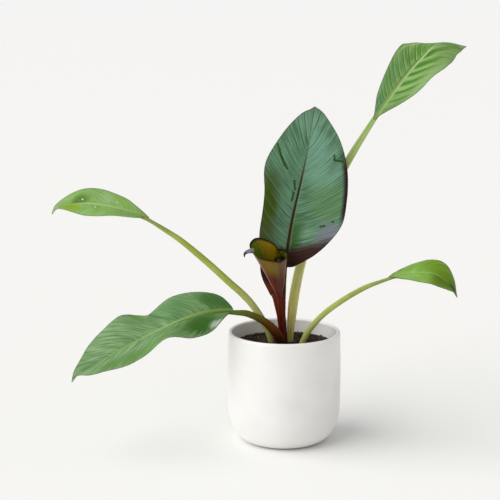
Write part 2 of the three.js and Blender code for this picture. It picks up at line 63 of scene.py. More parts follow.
POT_HEIGHT = 128
POT_BASE_RADIUS = 35
POT_BELLY_RADIUS = 64.8
POT_RIM_RADIUS = 64
POT_WALL = 4
POT_CORNER_HEIGHT = 46
POT_CORNER_ROUNDNESS = 0.86
POT_WALL_SWELL = 2.4
POT_WALL_END = 0.97
POT_FOOT_INSET = 3
POT_FLOOR = 6
SOIL_TOP = 112
POT_STEPS = 24
POT_RIM_STEPS = 12
SOIL_GAP = 0.35
SOIL_WALL_STEPS = 12
SOIL_RINGS = 45
SOIL_SEGMENTS = 150
CRUMB_HANDFUL = 50

VEIN_SWEEP = 1.4
ROWS_PER_PLEAT = 8
RIM_SAMPLES = 400
RIPPLE_PACE = 1.25
RIPPLE_REACH = 1.6
MIDRIB_DROP = 0.55
GROOVE_DEPTH = 0.3
GROOVE_REACH = 1.6
GROOVE_COLUMNS = 3

BLADE_SEEDS = {1: 11, -1: 23}
BLADE_LEAST_WIDTH = 0.3
GROOVE_MOST_SHARE = 0.45
PLEAT_DEPTHS = (0.35, 1)
PLEAT_WIDTHS = (0.65, 1.35)
PLEAT_ROUNDNESS = 0.8
PETIOLE_RINGS = 130
PETIOLE_CORNER_STEPS = 4
FINE_VEINS = 9
PETIOLE_RIBS = 30
PETIOLE_BLOOM = 0.2
STROKE_WAVER = 3 * MM

GLOSS = 0.25
DARK_GLOSS = 0.12
SHEATH_GLOSS = 0.05

# Corners of a petiole's section for a radius of 1: [across, height, height under the blade].
PETIOLE_SECTION = [
    (-1, 0.05, 0.05),
    (-0.7, 0.68, 0.35),
    (0, 0.5, 0.25),
    (0.7, 0.68, 0.35),
    (1, 0.05, 0.05),
    (0.75, -0.66, -0.66),
    (0, -1, -1),
    (-0.75, -0.66, -0.66),
]

# petiole and midrib: points of the leaf's spine. girth: (place, radius), with place -1 at the foot, 0
# where the blade starts and 1 at the tip. Edges: (share of the midrib, half width). tilt: (share,
# left, right, left curl, right curl) in degrees. reach: the width over which a curl acts.
LEAVES = {
    "leaf_high_left": {
        "petiole": [(-9.5, 7, 90), (-18, 8.5, 125.5), (-38, 10.5, 158.5), (-65, 13.5, 184),
                    (-93.5, 16.5, 209.5), (-123.5, 20, 233.5)],
        "midrib": [(-155, 24, 254.5), (-178, 26, 262), (-204, 28.5, 268), (-230, 30.5, 270.5),
                   (-253.5, 31, 267.5), (-263, 30, 264), (-267.5, 29, 258)],
        "leftwards": (0, -1, 0),
        "reach": 22,
        "girth": [(-1, 3.5), (-0.75, 4.5), (-0.35, 4.2), (-0.12, 3.4), (0, 2.8), (0.5, 1.4), (1, 0.6)],
        "left_edge": [(0, 1), (0.06, 4.6), (0.12, 8.8), (0.25, 15), (0.38, 18), (0.5, 19.5),
                      (0.62, 18.5), (0.75, 13), (0.88, 5.5), (0.95, 1), (1, 0)],
        "right_edge": [(0, 1), (0.06, 3.8), (0.12, 7.2), (0.25, 15), (0.38, 19), (0.5, 22),
                       (0.62, 21.5), (0.75, 16.5), (0.88, 9), (0.95, 3.6), (1, 0)],
        "tilt": [(0, -32, 57, -10, -10), (0.25, -17, 55, -15, -15), (0.5, -28, 54, -15, -15),
                 (0.75, -35, 55, -15, -15), (1, -5, 31, -10, -10)],
        "pleats": 18,
        "left_veins": (1.3, 0.88),
        "right_veins": (1.7, 0.88),
    },
    "leaf_low_left": {
        "petiole": [(-1, -1.5, 90), (-1.5, -2, 109), (-9, -7.5, 127.5), (-22.5, -14, 142.5),
                    (-39.5, -21.5, 152.5)],
        "midrib": [(-57.5, -29, 159), (-89, -41.5, 160), (-119, -53.5, 152.5),
                   (-148.5, -65.5, 140.5), (-177.5, -76, 127.5), (-206, -85, 112.5),
                   (-224.5, -90.5, 103.5), (-232.5, -92, 93.5)],
        "leftwards": (0.35, -1, 0),
        "reach": 32,
        "girth": [(-1, 4.8), (-0.8, 5), (-0.62, 6.3), (-0.42, 5.3), (-0.25, 4.5), (0, 3.7), (0.5, 2),
                  (1, 0.7)],
        "left_edge": [(0, 2), (0.06, 9.5), (0.15, 23.5), (0.28, 28.5), (0.42, 27.5), (0.56, 25),
                      (0.7, 22), (0.82, 14.5), (0.9, 10.5), (0.96, 1.6), (1, 0)],
        "right_edge": [(0, 2), (0.06, 18), (0.15, 26.5), (0.28, 31.5), (0.379, 33), (0.414, 35),
                       (0.439, 36), (0.464, 38), (0.499, 38.5), (0.6, 38.5), (0.72, 32.5),
                       (0.84, 21.5), (0.92, 8.5), (0.965, 3.4), (1, 0)],
        "tilt": [(0, -29, 48, 0, 0), (0.15, -52, 45, 0, -5), (0.3, -40, 45, 5, -10),
                 (0.45, -15, 21, 5, -15), (0.6, -31, 49, -5, -15), (0.8, -36, 47, -10, -15),
                 (1, -23, 56, -10, -10)],
        "left_ripple": [(0, 0), (0.25, -1), (0.4, 2), (0.6, -1), (0.8, 0.5), (1, 0)],
        "right_ripple": [(0, 0), (0.2, 0), (0.31, 1), (0.36, 1), (0.41, 3), (0.6, -1.5), (0.7, 0),
                         (1, 0)],
        "pleats": 30,
        "left_veins": (1.7, 0.86),
        "right_veins": (1.45, 0.86),
    },
    "leaf_upright": {
        "petiole": [(-0.5, 4.5, 151)],
        "midrib": [(-0.5, 5, 162.5), (2, 9.5, 207.5), (8.5, 16.5, 251.5), (18.5, 26, 294.5),
                   (28, 36, 337), (35, 47, 380.5)],
        "leftwards": (-1, 0, 0),
        "reach": 50,
        "girth": [(-1, 2.2), (0, 2.2), (0.7, 1.1), (1, 0.6)],
        "left_edge": [(0, 2), (0.02, 14.5), (0.05, 19), (0.12, 27), (0.22, 31), (0.35, 38),
                      (0.5, 42), (0.64, 46.5), (0.77, 38), (0.88, 26.5), (0.96, 12.5), (0.985, 3.8),
                      (1, 0)],
        "right_edge": [(0.168, 2), (0.174, 9.5), (0.19, 16), (0.215, 24.5), (0.25, 34.5),
                       (0.32, 47), (0.43, 57.5), (0.57, 56), (0.71, 49.5), (0.84, 35.5), (0.93, 20),
                       (0.98, 9), (1, 0)],
        "tilt": [(0, 1, 30, 0, 0), (0.2, 5, 26, 0, 5), (0.4, 32, 12, -10, 5), (0.6, 26, 4, -10, 0),
                 (0.8, 7, 5, -5, -5), (1, 0, 5, 0, -5)],
        "pleats": 24,
        "left_veins": (1.2, 0.86),
        "right_veins": (1.58, 0.88),
    },
    "leaf_high_right": {
        "petiole": [(6.5, 10, 90), (8, 11, 130), (12.5, 15.5, 170), (25, 26, 220), (46.5, 38.5, 265),
                    (73.5, 53.5, 315)],
        "midrib": [(105.5, 71, 364), (122, 80, 385.5), (139, 89, 406.5), (155, 98, 424.5),
                   (167.5, 105.5, 436.5), (179, 113.5, 446.5), (197, 125.5, 450.5),
                   (222, 138, 446)],
        "leftwards": (-0.85, 0.2, 0.5),
        "reach": 30,
        "girth": [(-1, 3.2), (-0.91, 3.6), (-0.86, 4.6), (-0.78, 5.6), (-0.5, 5.2), (-0.2, 4.5),
                  (-0.07, 3.5), (0, 3), (0.5, 1.5), (1, 0.6)],
        "left_edge": [(0, 1), (0.04, 4), (0.08, 7.5), (0.14, 13), (0.2, 16.5), (0.34, 23), (0.48, 28),
                      (0.62, 29.5), (0.76, 21), (0.9, 10.5), (1, 0)],
        "right_edge": [(0, 1), (0.04, 3.2), (0.08, 6.5), (0.14, 11.5), (0.2, 16), (0.34, 24),
                       (0.48, 27), (0.62, 29.5), (0.76, 28), (0.9, 16), (0.96, 6.5), (1, 0)],
        "tilt": [(0, 8, 17, 0, 0), (0.25, 14, 11, -5, -5), (0.5, 8, 21, -10, -10),
                 (0.75, -36, 3, -15, -15), (1, -26, -7, -10, -10)],
        "pleats": 18,
        "left_veins": (1.2, 0.8),
        "right_veins": (1.45, 0.7),
    },
    "leaf_low_right": {
        "petiole": [(15.5, -3, 92), (23, -5.5, 121.5), (40.5, -10, 146.5), (63.5, -16.5, 166.5),
                    (88, -24, 183)],
        "midrib": [(114.5, -32, 197), (131, -37, 201.5), (147.5, -42, 204), (164.5, -47.5, 203.5),
                   (178.5, -52.5, 194), (188.5, -56, 179.5)],
        "leftwards": (0.3, 1, 0),
        "reach": 20,
        "girth": [(-1, 4), (-0.5, 3.8), (-0.25, 3.4), (0, 2.5), (0.5, 1.3), (1, 0.6)],
        "left_edge": [(0, 1), (0.05, 3), (0.12, 6), (0.25, 12), (0.38, 16), (0.5, 19), (0.62, 20),
                      (0.75, 14), (0.86, 8.5), (0.94, 4), (1, 0)],
        "right_edge": [(0, 1), (0.05, 2.8), (0.12, 6), (0.25, 12.5), (0.38, 16), (0.5, 17.5),
                       (0.62, 16.5), (0.75, 13.5), (0.86, 8.5), (0.94, 1), (1, 0)],
        "tilt": [(0, 37, -22, -5, -5), (0.25, 39, -18, -10, -10), (0.5, 47, -22, -15, -15),
                 (0.75, 41, -26, -15, -15), (1, 11, -3, -10, -10)],
        "pleats": 14,
        "left_veins": (1.8, 0.82),
        "right_veins": (2.3, 0.82),
    },
}

# Colours of each leaf. tones: the two that the blade wavers between. veins: (painted highlight on the lit
# side of each vein, painted shade in its sunken seam, strength, share of the half width over which they fade,
# strength at the margin). rib: (colour at the foot, colour further on, strength, share where the second is
# reached, half width in girths). patches: (share, side and share of the half width, length, width, colour,
# strength), with positive sides
# to the left of the midrib as seen from the foot; some patches are painted sheen, marked where they stand.
# petiole:
# (place, colour). bloom: strength of its pale blotches.
LOOKS = {
    "leaf_high_left": {
        "tones": ("#74a450", "#8eb764"),
        "veins": ("#b5d48e", "#507c33", 0.45, 0.8, 0.3),
        "rib": ("#8fae55", "#b4cf86", 0.8, 0.5, 1.0),
        "margin": "#6a5a52",
        "under": "#8bab70",
        "petiole": [(-1, "#a3a54f"), (-0.7, "#b3b565"), (-0.5, "#a6ae50"), (-0.2, "#98a843"),
                    (0, "#869a4c"), (0.3, "#9dbb6b"), (1, "#9dbb6b")],
        "streaks": "#8a8a3a",
        "patches": [
            (0.76, 0.55, 0.14, 0.6, "#86a800", 1.0),
            (0.68, -0.4, 0.13, 0.5, "#557a1c", 0.95),
            (0.45, -0.5, 0.1, 0.5, "#9cc083", 0.6),
            (0.3, -0.62, 0.1, 0.22, "#8db23c", 0.7),
            (0.9, 0.2, 0.12, 1.2, "#93a23f", 0.6),
            # painted grey sheen near the tip
            (0.93, -0.6, 0.08, 0.5, "#aab09a", 0.6),
            (0.05, 0.0, 0.09, 1.2, "#7c8f45", 0.6),
        ],
        "roughness": 0.45,
        "gloss": GLOSS,
    },
    "leaf_low_left": {
        "tones": ("#59864a", "#8eb17c"),
        "veins": ("#9fc08c", "#366430", 0.9, 0.9, 0.7),
        "rib": ("#86a640", "#9bbd76", 0.75, 0.5, 0.5),
        "margin": "#5d5b48",
        "under": "#6d8f5c",
        "petiole": [(-1, "#2c0c06"), (-0.75, "#35120a"), (-0.6, "#5a2606"), (-0.45, "#663c08"),
                    (-0.3, "#625612"), (-0.15, "#616824"), (0, "#5a7226"), (0.3, "#7d9c55"),
                    (1, "#86a868")],
        "streaks": "#35200a",
        "bloom": 0.02,
        "patches": [
            (0.08, -0.5, 0.13, 0.8, "#2f6412", 0.85),
            (0.22, 0.5, 0.2, 0.6, "#2f6600", 0.95),
            (0.33, -0.5, 0.12, 0.7, "#4a7c40", 0.6),
            # painted whitish sheen near the foot
            (0.12, 0.66, 0.07, 0.25, "#cfdbc9", 0.85),
            (0.42, -0.55, 0.04, 0.8, "#446f3a", 0.5),
            (0.62, 0.8, 0.35, 0.3, "#568a2c", 0.7),
            (0.5, -0.9, 0.08, 0.3, "#6fa24a", 0.6),
            (0.985, 0.0, 0.03, 2.0, "#6b4e2a", 0.9),
        ],
        "roughness": 0.42,
        "gloss": GLOSS,
    },
    "leaf_upright": {
        "tones": ("#486c4f", "#6d9777"),
        "veins": ("#93b496", "#335438", 0.85, 0.95, 0.6),
        "rib": ("#2c0f05", "#4a5f48", 0.95, 0.95, 1.05),
        "margin": "#2a1216",
        "under": "#52231e",
        "petiole": [(-1, "#4a170f"), (0, "#4a170f"), (0.5, "#5a2a20"), (1, "#5f4a38")],
        "streaks": "#2a0b08",
        "patches": [
            (0.45, 0.85, 0.28, 0.5, "#3f5200", 1.0),
            (0.3, 0.8, 0.13, 0.6, "#4d5a30", 0.6),
            # painted grey-lilac sheen low on the right half
            (0.33, -0.85, 0.17, 0.42, "#79758a", 0.8),
            (0.55, -0.6, 0.16, 0.5, "#5a8048", 0.6),
            # painted grey sheen near the foot
            (0.25, -0.55, 0.07, 0.9, "#6a6a6e", 0.55),
            (0.2, 0.75, 0.07, 0.6, "#6f6f7c", 0.5),
            (0.55, 0.1, 0.3, 0.3, "#6d9a83", 0.4),
            # painted blue-grey highlight on the right half
            (0.76, -0.4, 0.25, 0.6, "#7cab97", 0.55),
            (0.95, 0.0, 0.1, 1.2, "#809f90", 0.7),
        ],
        "roughness": 0.42,
        "gloss": DARK_GLOSS,
    },
    "leaf_high_right": {
        "tones": ("#5d8938", "#8cb168"),
        "veins": ("#b4da90", "#3f7214", 1.5, 0.75, 0.45),
        "rib": ("#93b163", "#b2cb90", 0.9, 0.5, 0.95),
        "margin": "#5a4f5a",
        "under": "#7d9d68",
        "petiole": [(-1, "#a89e4a"), (-0.85, "#cdbf70"), (-0.7, "#d0cf7c"), (-0.55, "#cdd080"),
                    (-0.3, "#b8c568"), (-0.1, "#a8bf77"), (0, "#97ba6d"), (1, "#a8d18a")],
        "streaks": "#8a6a34",
        "patches": [
            (0.3, 0.6, 0.3, 0.5, "#5c8f58", 0.6),
            (0.1, 0.5, 0.1, 0.9, "#5f9270", 0.6),
            (0.62, 0.3, 0.12, 0.5, "#568524", 0.7),
            (0.62, -0.15, 0.3, 0.3, "#4d8214", 0.75),
            (0.45, -0.85, 0.45, 0.3, "#9cc17c", 0.7),
            (0.96, -0.3, 0.06, 0.9, "#b3aca6", 0.9),
            (0.5, 0.12, 0.5, 0.12, "#8fb26a", 0.6),
        ],
        "roughness": 0.45,
        "gloss": GLOSS,
    },
    "leaf_low_right": {
        "tones": ("#69952c", "#8cb450"),
        "veins": ("#a9cf74", "#4f7d14", 0.7, 0.7, 0.3),
        "rib": ("#7f9a3c", "#9cc46a", 0.4, 0.5, 0.8),
        "margin": "#54484a",
        "under": "#7aa53a",
        "petiole": [(-1, "#9fa45c"), (-0.7, "#b5ba6c"), (-0.5, "#acb860"), (-0.3, "#98a348"),
                    (-0.1, "#8f9b52"), (0, "#86974e"), (0.4, "#88ab4a"), (1, "#5f7a20")],
        "streaks": "#7f8a36",
        "patches": [
            (0.25, -0.3, 0.25, 0.7, "#8ab561", 0.6),
            (0.74, -0.1, 0.26, 1.6, "#567300", 1.0),
            (0.6, 0.5, 0.28, 0.6, "#688c08", 0.8),
            (0.9, 0.1, 0.16, 1.3, "#3f4c18", 1.0),
        ],
        "roughness": 0.42,
        "gloss": GLOSS,
    },
}

# Colours of marks and of the pieces other than blades.
PAINT = {
    "dark_edge": "#26141a",
    "green_strip": "#2a5506",
    "beside_midrib": "#6f8556",
    "rubbed": "#1f4a10",
    "maroon_foot": "#2f150d",
    "red_foot": "#662612",
    # Painted highlight and painted shade on the pleats of the high right leaf.
    "pleat_painted_highlight": "#a3cd7e",
    "pleat_painted_shade": "#3f7a0e",
    "midrib_shadow": "#56792f",
    # Painted highlight along a fold.
    "fold_painted_highlight": "#a3bf72",
    "fold_shadow": "#3f6b36",
    "bloom": "#d3d69a",
    # Painted glint of the water drops, near white in place of clear water.
    "drop": "#f4f7f2",
    "drop_glint_tint": "#dbe8d6",
    "sheath_streak": "#601c0c",
    "sheath_foot": "#330300",
    "sheath_top": "#5f2a1a",
    # Painted highlight along the sheath edges.
    "sheath_edge_highlight": "#7a3a1c",
    "furl_streak": "#4a231b",
    # Painted glow of light through the furled blade.
    "furl_painted_glow": "#7f6a24",
    "furl_pale": "#7c6850",
    "furl_ridge": "#9c744c",
    "furl_green": "#456b06",
    "furl_olive": "#877605",
    "furl_dark": "#2a2404",
    "furl_amber": "#a87a06",
    # Painted shade deep in the funnel and painted shadow in its mouth.
    "furl_deep_shade": "#1c1503",
    "furl_mouth_shadow": "#182404",
    "furl_margin": "#220a06",
    "lip": "#8d8088",
    "lip_end": "#2a1f1e",
    "lip_mottle": "#5d4a4c",
    "glaze_mottle": "#eae8e5",
    # Inner wall painted whiter to stand in for light inside the pot.
    "inner_wall_painted_light": "#ffffff",
    "pinhole": "#b9b2a8",
    "bare_foot": "#cfc6b8",
    # Dark soil with painted shade between grains.
    "soil_gap_shade": "#1c1611",
    "soil_fibre": "#b89c78",
    "soil_damp": "#271c14",
}

# Places (x, z) where the bloom of the upright leaf is rubbed off, as lines from one to the other.
RUBBED_LINES = [
    ((-7.4, 339), (-4.5, 329)),
    ((-4.5, 329), (-1.3, 319)),
    ((-1.3, 319), (3, 312)),
    ((11.6, 297.6), (12, 288)),
    ((10.4, 285), (8.7, 275.5)),
    ((56.9, 326), (57.6, 320.5)),
    ((58, 320.5), (66.5, 319)),
    ((40.6, 247.4), (45.2, 248.4)),
    ((54.2, 252.8), (55.2, 253)),
]

# Water drops on the high left leaf: (share of the midrib, side, distance from it, radius).
DROPLETS = [(0.665, -1, 5, 1.1), (0.34, -1, 7, 0.8), (0.53, 1, 5.5, 0.8)]
DROPLET_FLATNESS = 0.5

# Fold across the low left leaf: its ends (x, z).
FOLD_LINE = ((-152.5, 154.5), (-122, 153.5))

# Rolled sheaths below the upright leaf: (height, x, y, half width, half depth).
STEM_RINGS = [
    (86, -0.2, 3.5, 5.2, 5.2),
    (110, -0.4, 3.5, 5, 5.2),
    (120.5, -0.8, 3.5, 4.8, 5.2),
    (133.6, -2.2, 3.5, 5.1, 5.4),
    (145.3, -3.5, 3.3, 5.5, 5.8),
    (157, -5, 3.1, 6.8, 6.3),
    (163.5, -5.8, 3, 7.5, 6.5),
    (168.5, -6.8, 3.4, 8.2, 6),
    (171, -7.2, 4, 7.6, 4.8),
]
# Edges of the outer sheaths: (angle at the foot, angle at the top, step in the surface), in degrees.
SHEATH_EDGES = [(205, 262, 0.55), (290, 288, 0.45), (20, 40, 0.5), (120, 100, 0.5)]
SHEATH_WIDTH = 75
SHEATH_LINE_WIDTH = 8
SHEATH_SINK = 0.3
SHEATH_RINGS = 90
SHEATH_SIDES = 72

# The furled leaf: (angle, radius, share of the line FOOT-MOUTH) at its rim.
FURL_FOOT = Vector((-5, 0, 163))
FURL_MOUTH = Vector((-17.3, -15, 224.6))
FURL_RIM = [
    (-60, 13.5, 0.88),
    (0, 11.6, 0.86),
    (45, 13.1, 1.02),
    (90, 17, 1.14),
    (135, 17.1, 1.2),
    (180, 20.7, 1.12),
    (215, 23.8, 1.01),
    (235, 24.1, 0.93),
    (270, 20.5, 0.865),
    (305, 14.4, 0.815),
    (335, 17.1, 0.855),
    (360, 18.2, 0.875),
    (385, 20.4, 0.95),
    (420, 20.6, 0.975),
]
FURL_CORE_RADIUS = 2
FURL_FLARE = 0.3
FURL_TURNS = 161
FURL_ROWS = 30
FURL_CREASES = 11
FURL_CREASE_DEPTH = 0.16
FURL_CORE_RINGS = 12
FURL_CORE_SIDES = 48
FURL_CORE_SINK = 0.1
FURL_PEG_RINGS = 9
FURL_PEG_SIDES = 24
FURL_LIP_RINGS = 28
FURL_LIP_SIDES = 20
FURL_LIP_HALF_THICKNESS = 0.7
FURL_START = 0.05
FURL_CORE_SHARE = 0.24
FURL_OUTER_START = 60
# Turns at which the front of the funnel and its two ridges lie.
FURL_FRONT = 0.74
FURL_RIDGES = (0.615, 0.985)
# Painted dark green shadow inside the mouth: middle (x, z), half width, half height.
FURL_SHADE = (-5, 209, 8, 7)
FURL_PEG = [(-4.6, 1.4, 151), (-5, 0.4, 158), (-5, 0, 164)]
# Lip beside the mouth: (x, y, z, half width).
FURL_LIP = [
    (-34.8, -26, 225.8, 3),
    (-40.9, -28.5, 225.5, 2.4),
    (-45, -30, 223.1, 1.4),
    (-45.4, -31, 219.4, 0.5),
]

# Light and camera.
KEY_DIRECTION = (-0.78, -0.26, 0.68)
HORIZON = 0.905
CAMERA_PLACE = (-0.0392, -1.4548, 0.4914)
CAMERA_PITCH = 10.5
CAMERA_LENS = 94.0
CAMERA_SENSOR = 36.0
FLOOR_HALF_SIZE = 300


def linear(code):
    """Scene-linear red, green, blue and alpha of a colour given as #rrggbb."""
    parts = [int(code[i:i + 2], 16) / 255 for i in (1, 3, 5)]
    return (*(c / 12.92 if c <= 0.04045 else ((c + 0.055) / 1.055) ** 2.4 for c in parts), 1.0)


def smoothstep(value, low, high):
    """0 below low and 1 above high, with a smooth step between."""
    share = min(max((value - low) / (high - low), 0), 1)
    return share * share * (3 - 2 * share)


def between(keys, place):
    """Smooth values through keys (place, value, ...) at a place."""
    x = min(max(place, keys[0][0]), keys[-1][0])
    i = 0
    while i < len(keys) - 2 and x >= keys[i + 1][0]:
        i += 1
    span = keys[i + 1][0] - keys[i][0]
    u = (x - keys[i][0]) / span

    def slope(k, column):
        a = keys[max(k - 1, 0)]
        b = keys[min(k + 1, len(keys) - 1)]
        return (b[column] - a[column]) / (b[0] - a[0])

    values = []
    for column in range(1, len(keys[0])):
        start = keys[i][column]
        end = keys[i + 1][column]
        value = start + (end - start) * u * u * (3 - 2 * u)
        value += slope(i, column) * span * u * (1 - u) ** 2
        value += slope(i + 1, column) * span * u * u * (u - 1)
        values.append(value)
    return values


class Line:
    """Smooth curve through points, read by a share of its length."""

    STEPS = 40

    def __init__(self, points):
        points = [Vector(p) for p in points]
        ends = [2 * points[0] - points[1], *points, 2 * points[-1] - points[-2]]
        self.spans = [self.span(*ends[i:i + 4]) for i in range(len(points) - 1)]
        samples = [self.at(k / self.STEPS) for k in range(self.STEPS * len(self.spans) + 1)]
        self.lengths = [0.0]
        for a, b in zip(samples, samples[1:]):
            self.lengths.append(self.lengths[-1] + (b - a).length)
        self.total = self.lengths[-1]

    @staticmethod
    def span(before, start, end, after):
        steps = [max((b - a).length, 1e-6) ** 0.5 for a, b in ((before, start), (start, end), (end, after))]
        middle = (end - start) / steps[1]
        first = (start - before) / steps[0] - (end - before) / (steps[0] + steps[1]) + middle
        last = middle - (after - start) / (steps[1] + steps[2]) + (after - end) / steps[2]
        first *= steps[1]
        last *= steps[1]
        square = 3 * (end - start) - 2 * first - last
        cube = 2 * (start - end) + first + last
        return start, first, square, cube

    def at(self, place):
        i = min(max(int(place), 0), len(self.spans) - 1)
        u = place - i
        start, first, square, cube = self.spans[i]
        return start + first * u + square * u * u + cube * u ** 3

    def heading(self, place):
        i = min(max(int(place), 0), len(self.spans) - 1)
        u = place - i
        _, first, square, cube = self.spans[i]
        return (first + 2 * square * u + 3 * cube * u * u).normalized()

    def place_of(self, share):
        length = min(max(share, 0), 1) * self.total
        k = min(bisect_right(self.lengths, length) - 1, len(self.lengths) - 2)
        gap = self.lengths[k + 1] - self.lengths[k]
        return (k + (length - self.lengths[k]) / max(gap, 1e-9)) / self.STEPS


class Leaf:
    """Shape of one leaf: its spine, its blade and its petiole."""

    def __init__(self, name):
        form = LEAVES[name]
        self.form = form
        self.spine = Line(form["petiole"] + form["midrib"])
        self.start = self.spine.lengths[Line.STEPS * len(form["petiole"])] / self.spine.total
        self.length = self.spine.total * (1 - self.start)
        self.leftwards = Vector(form["leftwards"]).normalized()

    def frame(self, place):
        share = self.start * (1 + place) if place < 0 else self.start + (1 - self.start) * place
        t = self.spine.place_of(share)
        tangent = self.spine.heading(t)
        left = (self.leftwards - tangent * tangent.dot(self.leftwards)).normalized()
        return self.spine.at(t), left, tangent.cross(left)

    def girth(self, place):
        return between(self.form["girth"], place)[0]

    def blade_point(self, share, width, side, lift):
        """Point width mm out from the midrib along an arc, on side 1 (left) or -1 (right)."""
        point, left, up = self.frame(share)
        tilt_left, tilt_right, curl_left, curl_right = between(self.form["tilt"], share)
        tilt = math.radians(tilt_left if side > 0 else tilt_right)
        curl = math.radians(curl_left if side > 0 else curl_right) * width / self.form["reach"]
        curl = curl or 1e-4
        out = width * (math.sin(tilt + curl) - math.sin(tilt)) / curl
        rise = width * (math.cos(tilt) - math.cos(tilt + curl)) / curl
        across = out - lift * math.sin(tilt + curl)
        above = rise + lift * math.cos(tilt + curl)
        return point + left * side * across + up * above


class Skin:
    """A mesh under construction, with the two vectors that the finishes read at each vertex."""

    def __init__(self):
        self.mesh = bmesh.new()
        self.place = self.mesh.verts.layers.float_vector.new("place")
        self.reach = self.mesh.verts.layers.float_vector.new("reach")

    def rolled(self, rings, sides, put, material=0):
        """Closed skin: a grid rolled up, its seam merged and its ends filled. put(ring, side) gives
        a point and its two vectors."""
        made = bmesh.ops.create_grid(self.mesh, x_segments=rings - 1, y_segments=sides, size=1)
        verts = made["verts"]
        for vert in verts:
            ring = round((vert.co.x + 1) * (rings - 1) / 2)
            side = round((vert.co.y + 1) * sides / 2) % sides
            vert.co, vert[self.place], vert[self.reach] = put(ring, side)
        faces = {face for vert in verts for face in vert.link_faces}
        for face in faces:
            face.material_index = material
        bmesh.ops.remove_doubles(self.mesh, verts=verts, dist=MERGE)
        rim = {edge for face in faces if face.is_valid for edge in face.edges if edge.is_boundary}
        filled = bmesh.ops.holes_fill(self.mesh, edges=list(rim), sides=0)
        for face in filled["faces"]:
            face.material_index = material

    def finished(self, name, finishes, node):
        """The object of this skin, in metres, with its finishes, carried by the frame."""
        bmesh.ops.scale(self.mesh, vec=(MM, MM, MM), verts=self.mesh.verts)
        bmesh.ops.recalc_face_normals(self.mesh, faces=self.mesh.faces)
        for face in self.mesh.faces:
            face.smooth = True
        data = bpy.data.meshes.new(name)
        self.mesh.to_mesh(data)
        self.mesh.free()
        data.set_sharp_from_angle(angle=SHARP)
        for finish in finishes:
            data.materials.append(finish)
        made = bpy.data.objects.new(name, data)
        bpy.context.scene.collection.objects.link(made)
        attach(made, "root")
        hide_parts(node)
        return made


class Wire:
    """A number, colour or vector inside a finish; arithmetic on it adds the nodes for it."""

    def __init__(self, finish, socket):
        self.finish = finish
        self.socket = socket

    def __add__(self, other):
        return self.finish.math("ADD", self, other)

    def __sub__(self, other):
        return self.finish.math("SUBTRACT", self, other)

    def __mul__(self, other):
        return self.finish.math("MULTIPLY", self, other)

    def __truediv__(self, other):
        return self.finish.math("DIVIDE", self, other)

    def of(self, operation):
        return self.finish.math(operation, self)

    def step(self, low, high, start=0.0, end=1.0):
        """start below low and end above high, with a smooth step between."""
        inputs = {"Value": self, "From Min": low, "From Max": high, "To Min": start, "To Max": end}
        return self.finish.node("ShaderNodeMapRange", inputs, interpolation_type="SMOOTHSTEP")

    def to(self, colour, share):
        """This colour, mixed with another by a share."""
        return self.finish.mix(share, self, colour)


def apart(x, y):
    """Length of the vector (x, y)."""
    return (x * x + y * y).of("SQRT")


class Finish:
    """A procedural material under construction."""

    def __init__(self, name, roughness, specular=0.5):
        self.material = bpy.data.materials.new(name)
        self.material.use_nodes = True
        self.tree = self.material.node_tree
        self.shader = self.tree.nodes["Principled BSDF"]
        self.set("Roughness", roughness)
        self.set("Specular IOR Level", specular)

    def plug(self, socket, value):
        if isinstance(value, Wire):
            self.tree.links.new(value.socket, socket)
        else:
            socket.default_value = value

    def set(self, name, value):
        self.plug(self.shader.inputs[name], value)

    def node(self, kind, inputs, output=0, **settings):
        made = self.tree.nodes.new(kind)
        for key, value in settings.items():
            setattr(made, key, value)
        for key, value in inputs.items():
            self.plug(made.inputs[key], value)
        return Wire(self, made.outputs[output])

    def math(self, operation, a, b=0.0):
        return self.node("ShaderNodeMath", {0: a, 1: b}, operation=operation)

    def mix(self, share, a, b):
        a, b = (linear(colour) if isinstance(colour, str) else colour for colour in (a, b))
        return self.node("ShaderNodeMix", {0: share, 6: a, 7: b}, 2, data_type="RGBA")

    def split(self, vector):
        made = self.node("ShaderNodeSeparateXYZ", {0: vector}).socket.node
        return [Wire(self, socket) for socket in made.outputs]

    def parts(self, name):
        return self.split(self.node("ShaderNodeAttribute", {}, "Vector", attribute_name=name))

    def joined(self, x, y, z=0.0):
        return self.node("ShaderNodeCombineXYZ", {0: x, 1: y, 2: z})

    def spot(self):
        return self.node("ShaderNodeTexCoord", {}, "Object")

    def noise(self, vector, scale, detail=3.0, roughness=0.55):
        inputs = {"Vector": vector, "Scale": scale, "Detail": detail, "Roughness": roughness}
        return self.node("ShaderNodeTexNoise", inputs, "Fac")

    def ramp(self, value, stops):
        """Colour through stops (value, colour)."""
        colour = linear(stops[0][1])
        for (low, _), (high, code) in zip(stops, stops[1:]):
            colour = self.mix(value.step(low, high), colour, code)
        return colour

    def stroke(self, x, z, start, end):
        """Distance from a wavering line between two points (x, z) in millimetres."""
        ax, az, bx, bz = (number * MM for number in (*start, *end))
        dx = bx - ax
        dz = bz - az
        waver = self.noise(self.spot(), 300, 2) * STROKE_WAVER - STROKE_WAVER / 2
        px = x - ax + waver
        pz = z - az
        place = self.node("ShaderNodeClamp", {0: (px * dx + pz * dz) / (dx * dx + dz * dz)})
        return apart(px - place * dx, pz - place * dz)

    def relief(self, height, depth_mm, strength, **under):
        """Bump of a height map, which may lie on another one given as Normal."""
        inputs = {"Height": height, "Distance": depth_mm * MM, "Strength": strength, **under}
        return self.node("ShaderNodeBump", inputs)


def patched(colour, patches, share, across, cloud, streak):
    """Soft patches of other colours, with wandering outlines."""
    drift_along = cloud * 0.14 - 0.07
    drift_across = streak * 0.6 - 0.3
    for at, beside, length, width, code, strength in patches:
        away = apart((share - at + drift_along) / length, (across - beside + drift_across) / width)
        colour = colour.to(code, away.step(0.3, 1, strength, 0))
    return colour


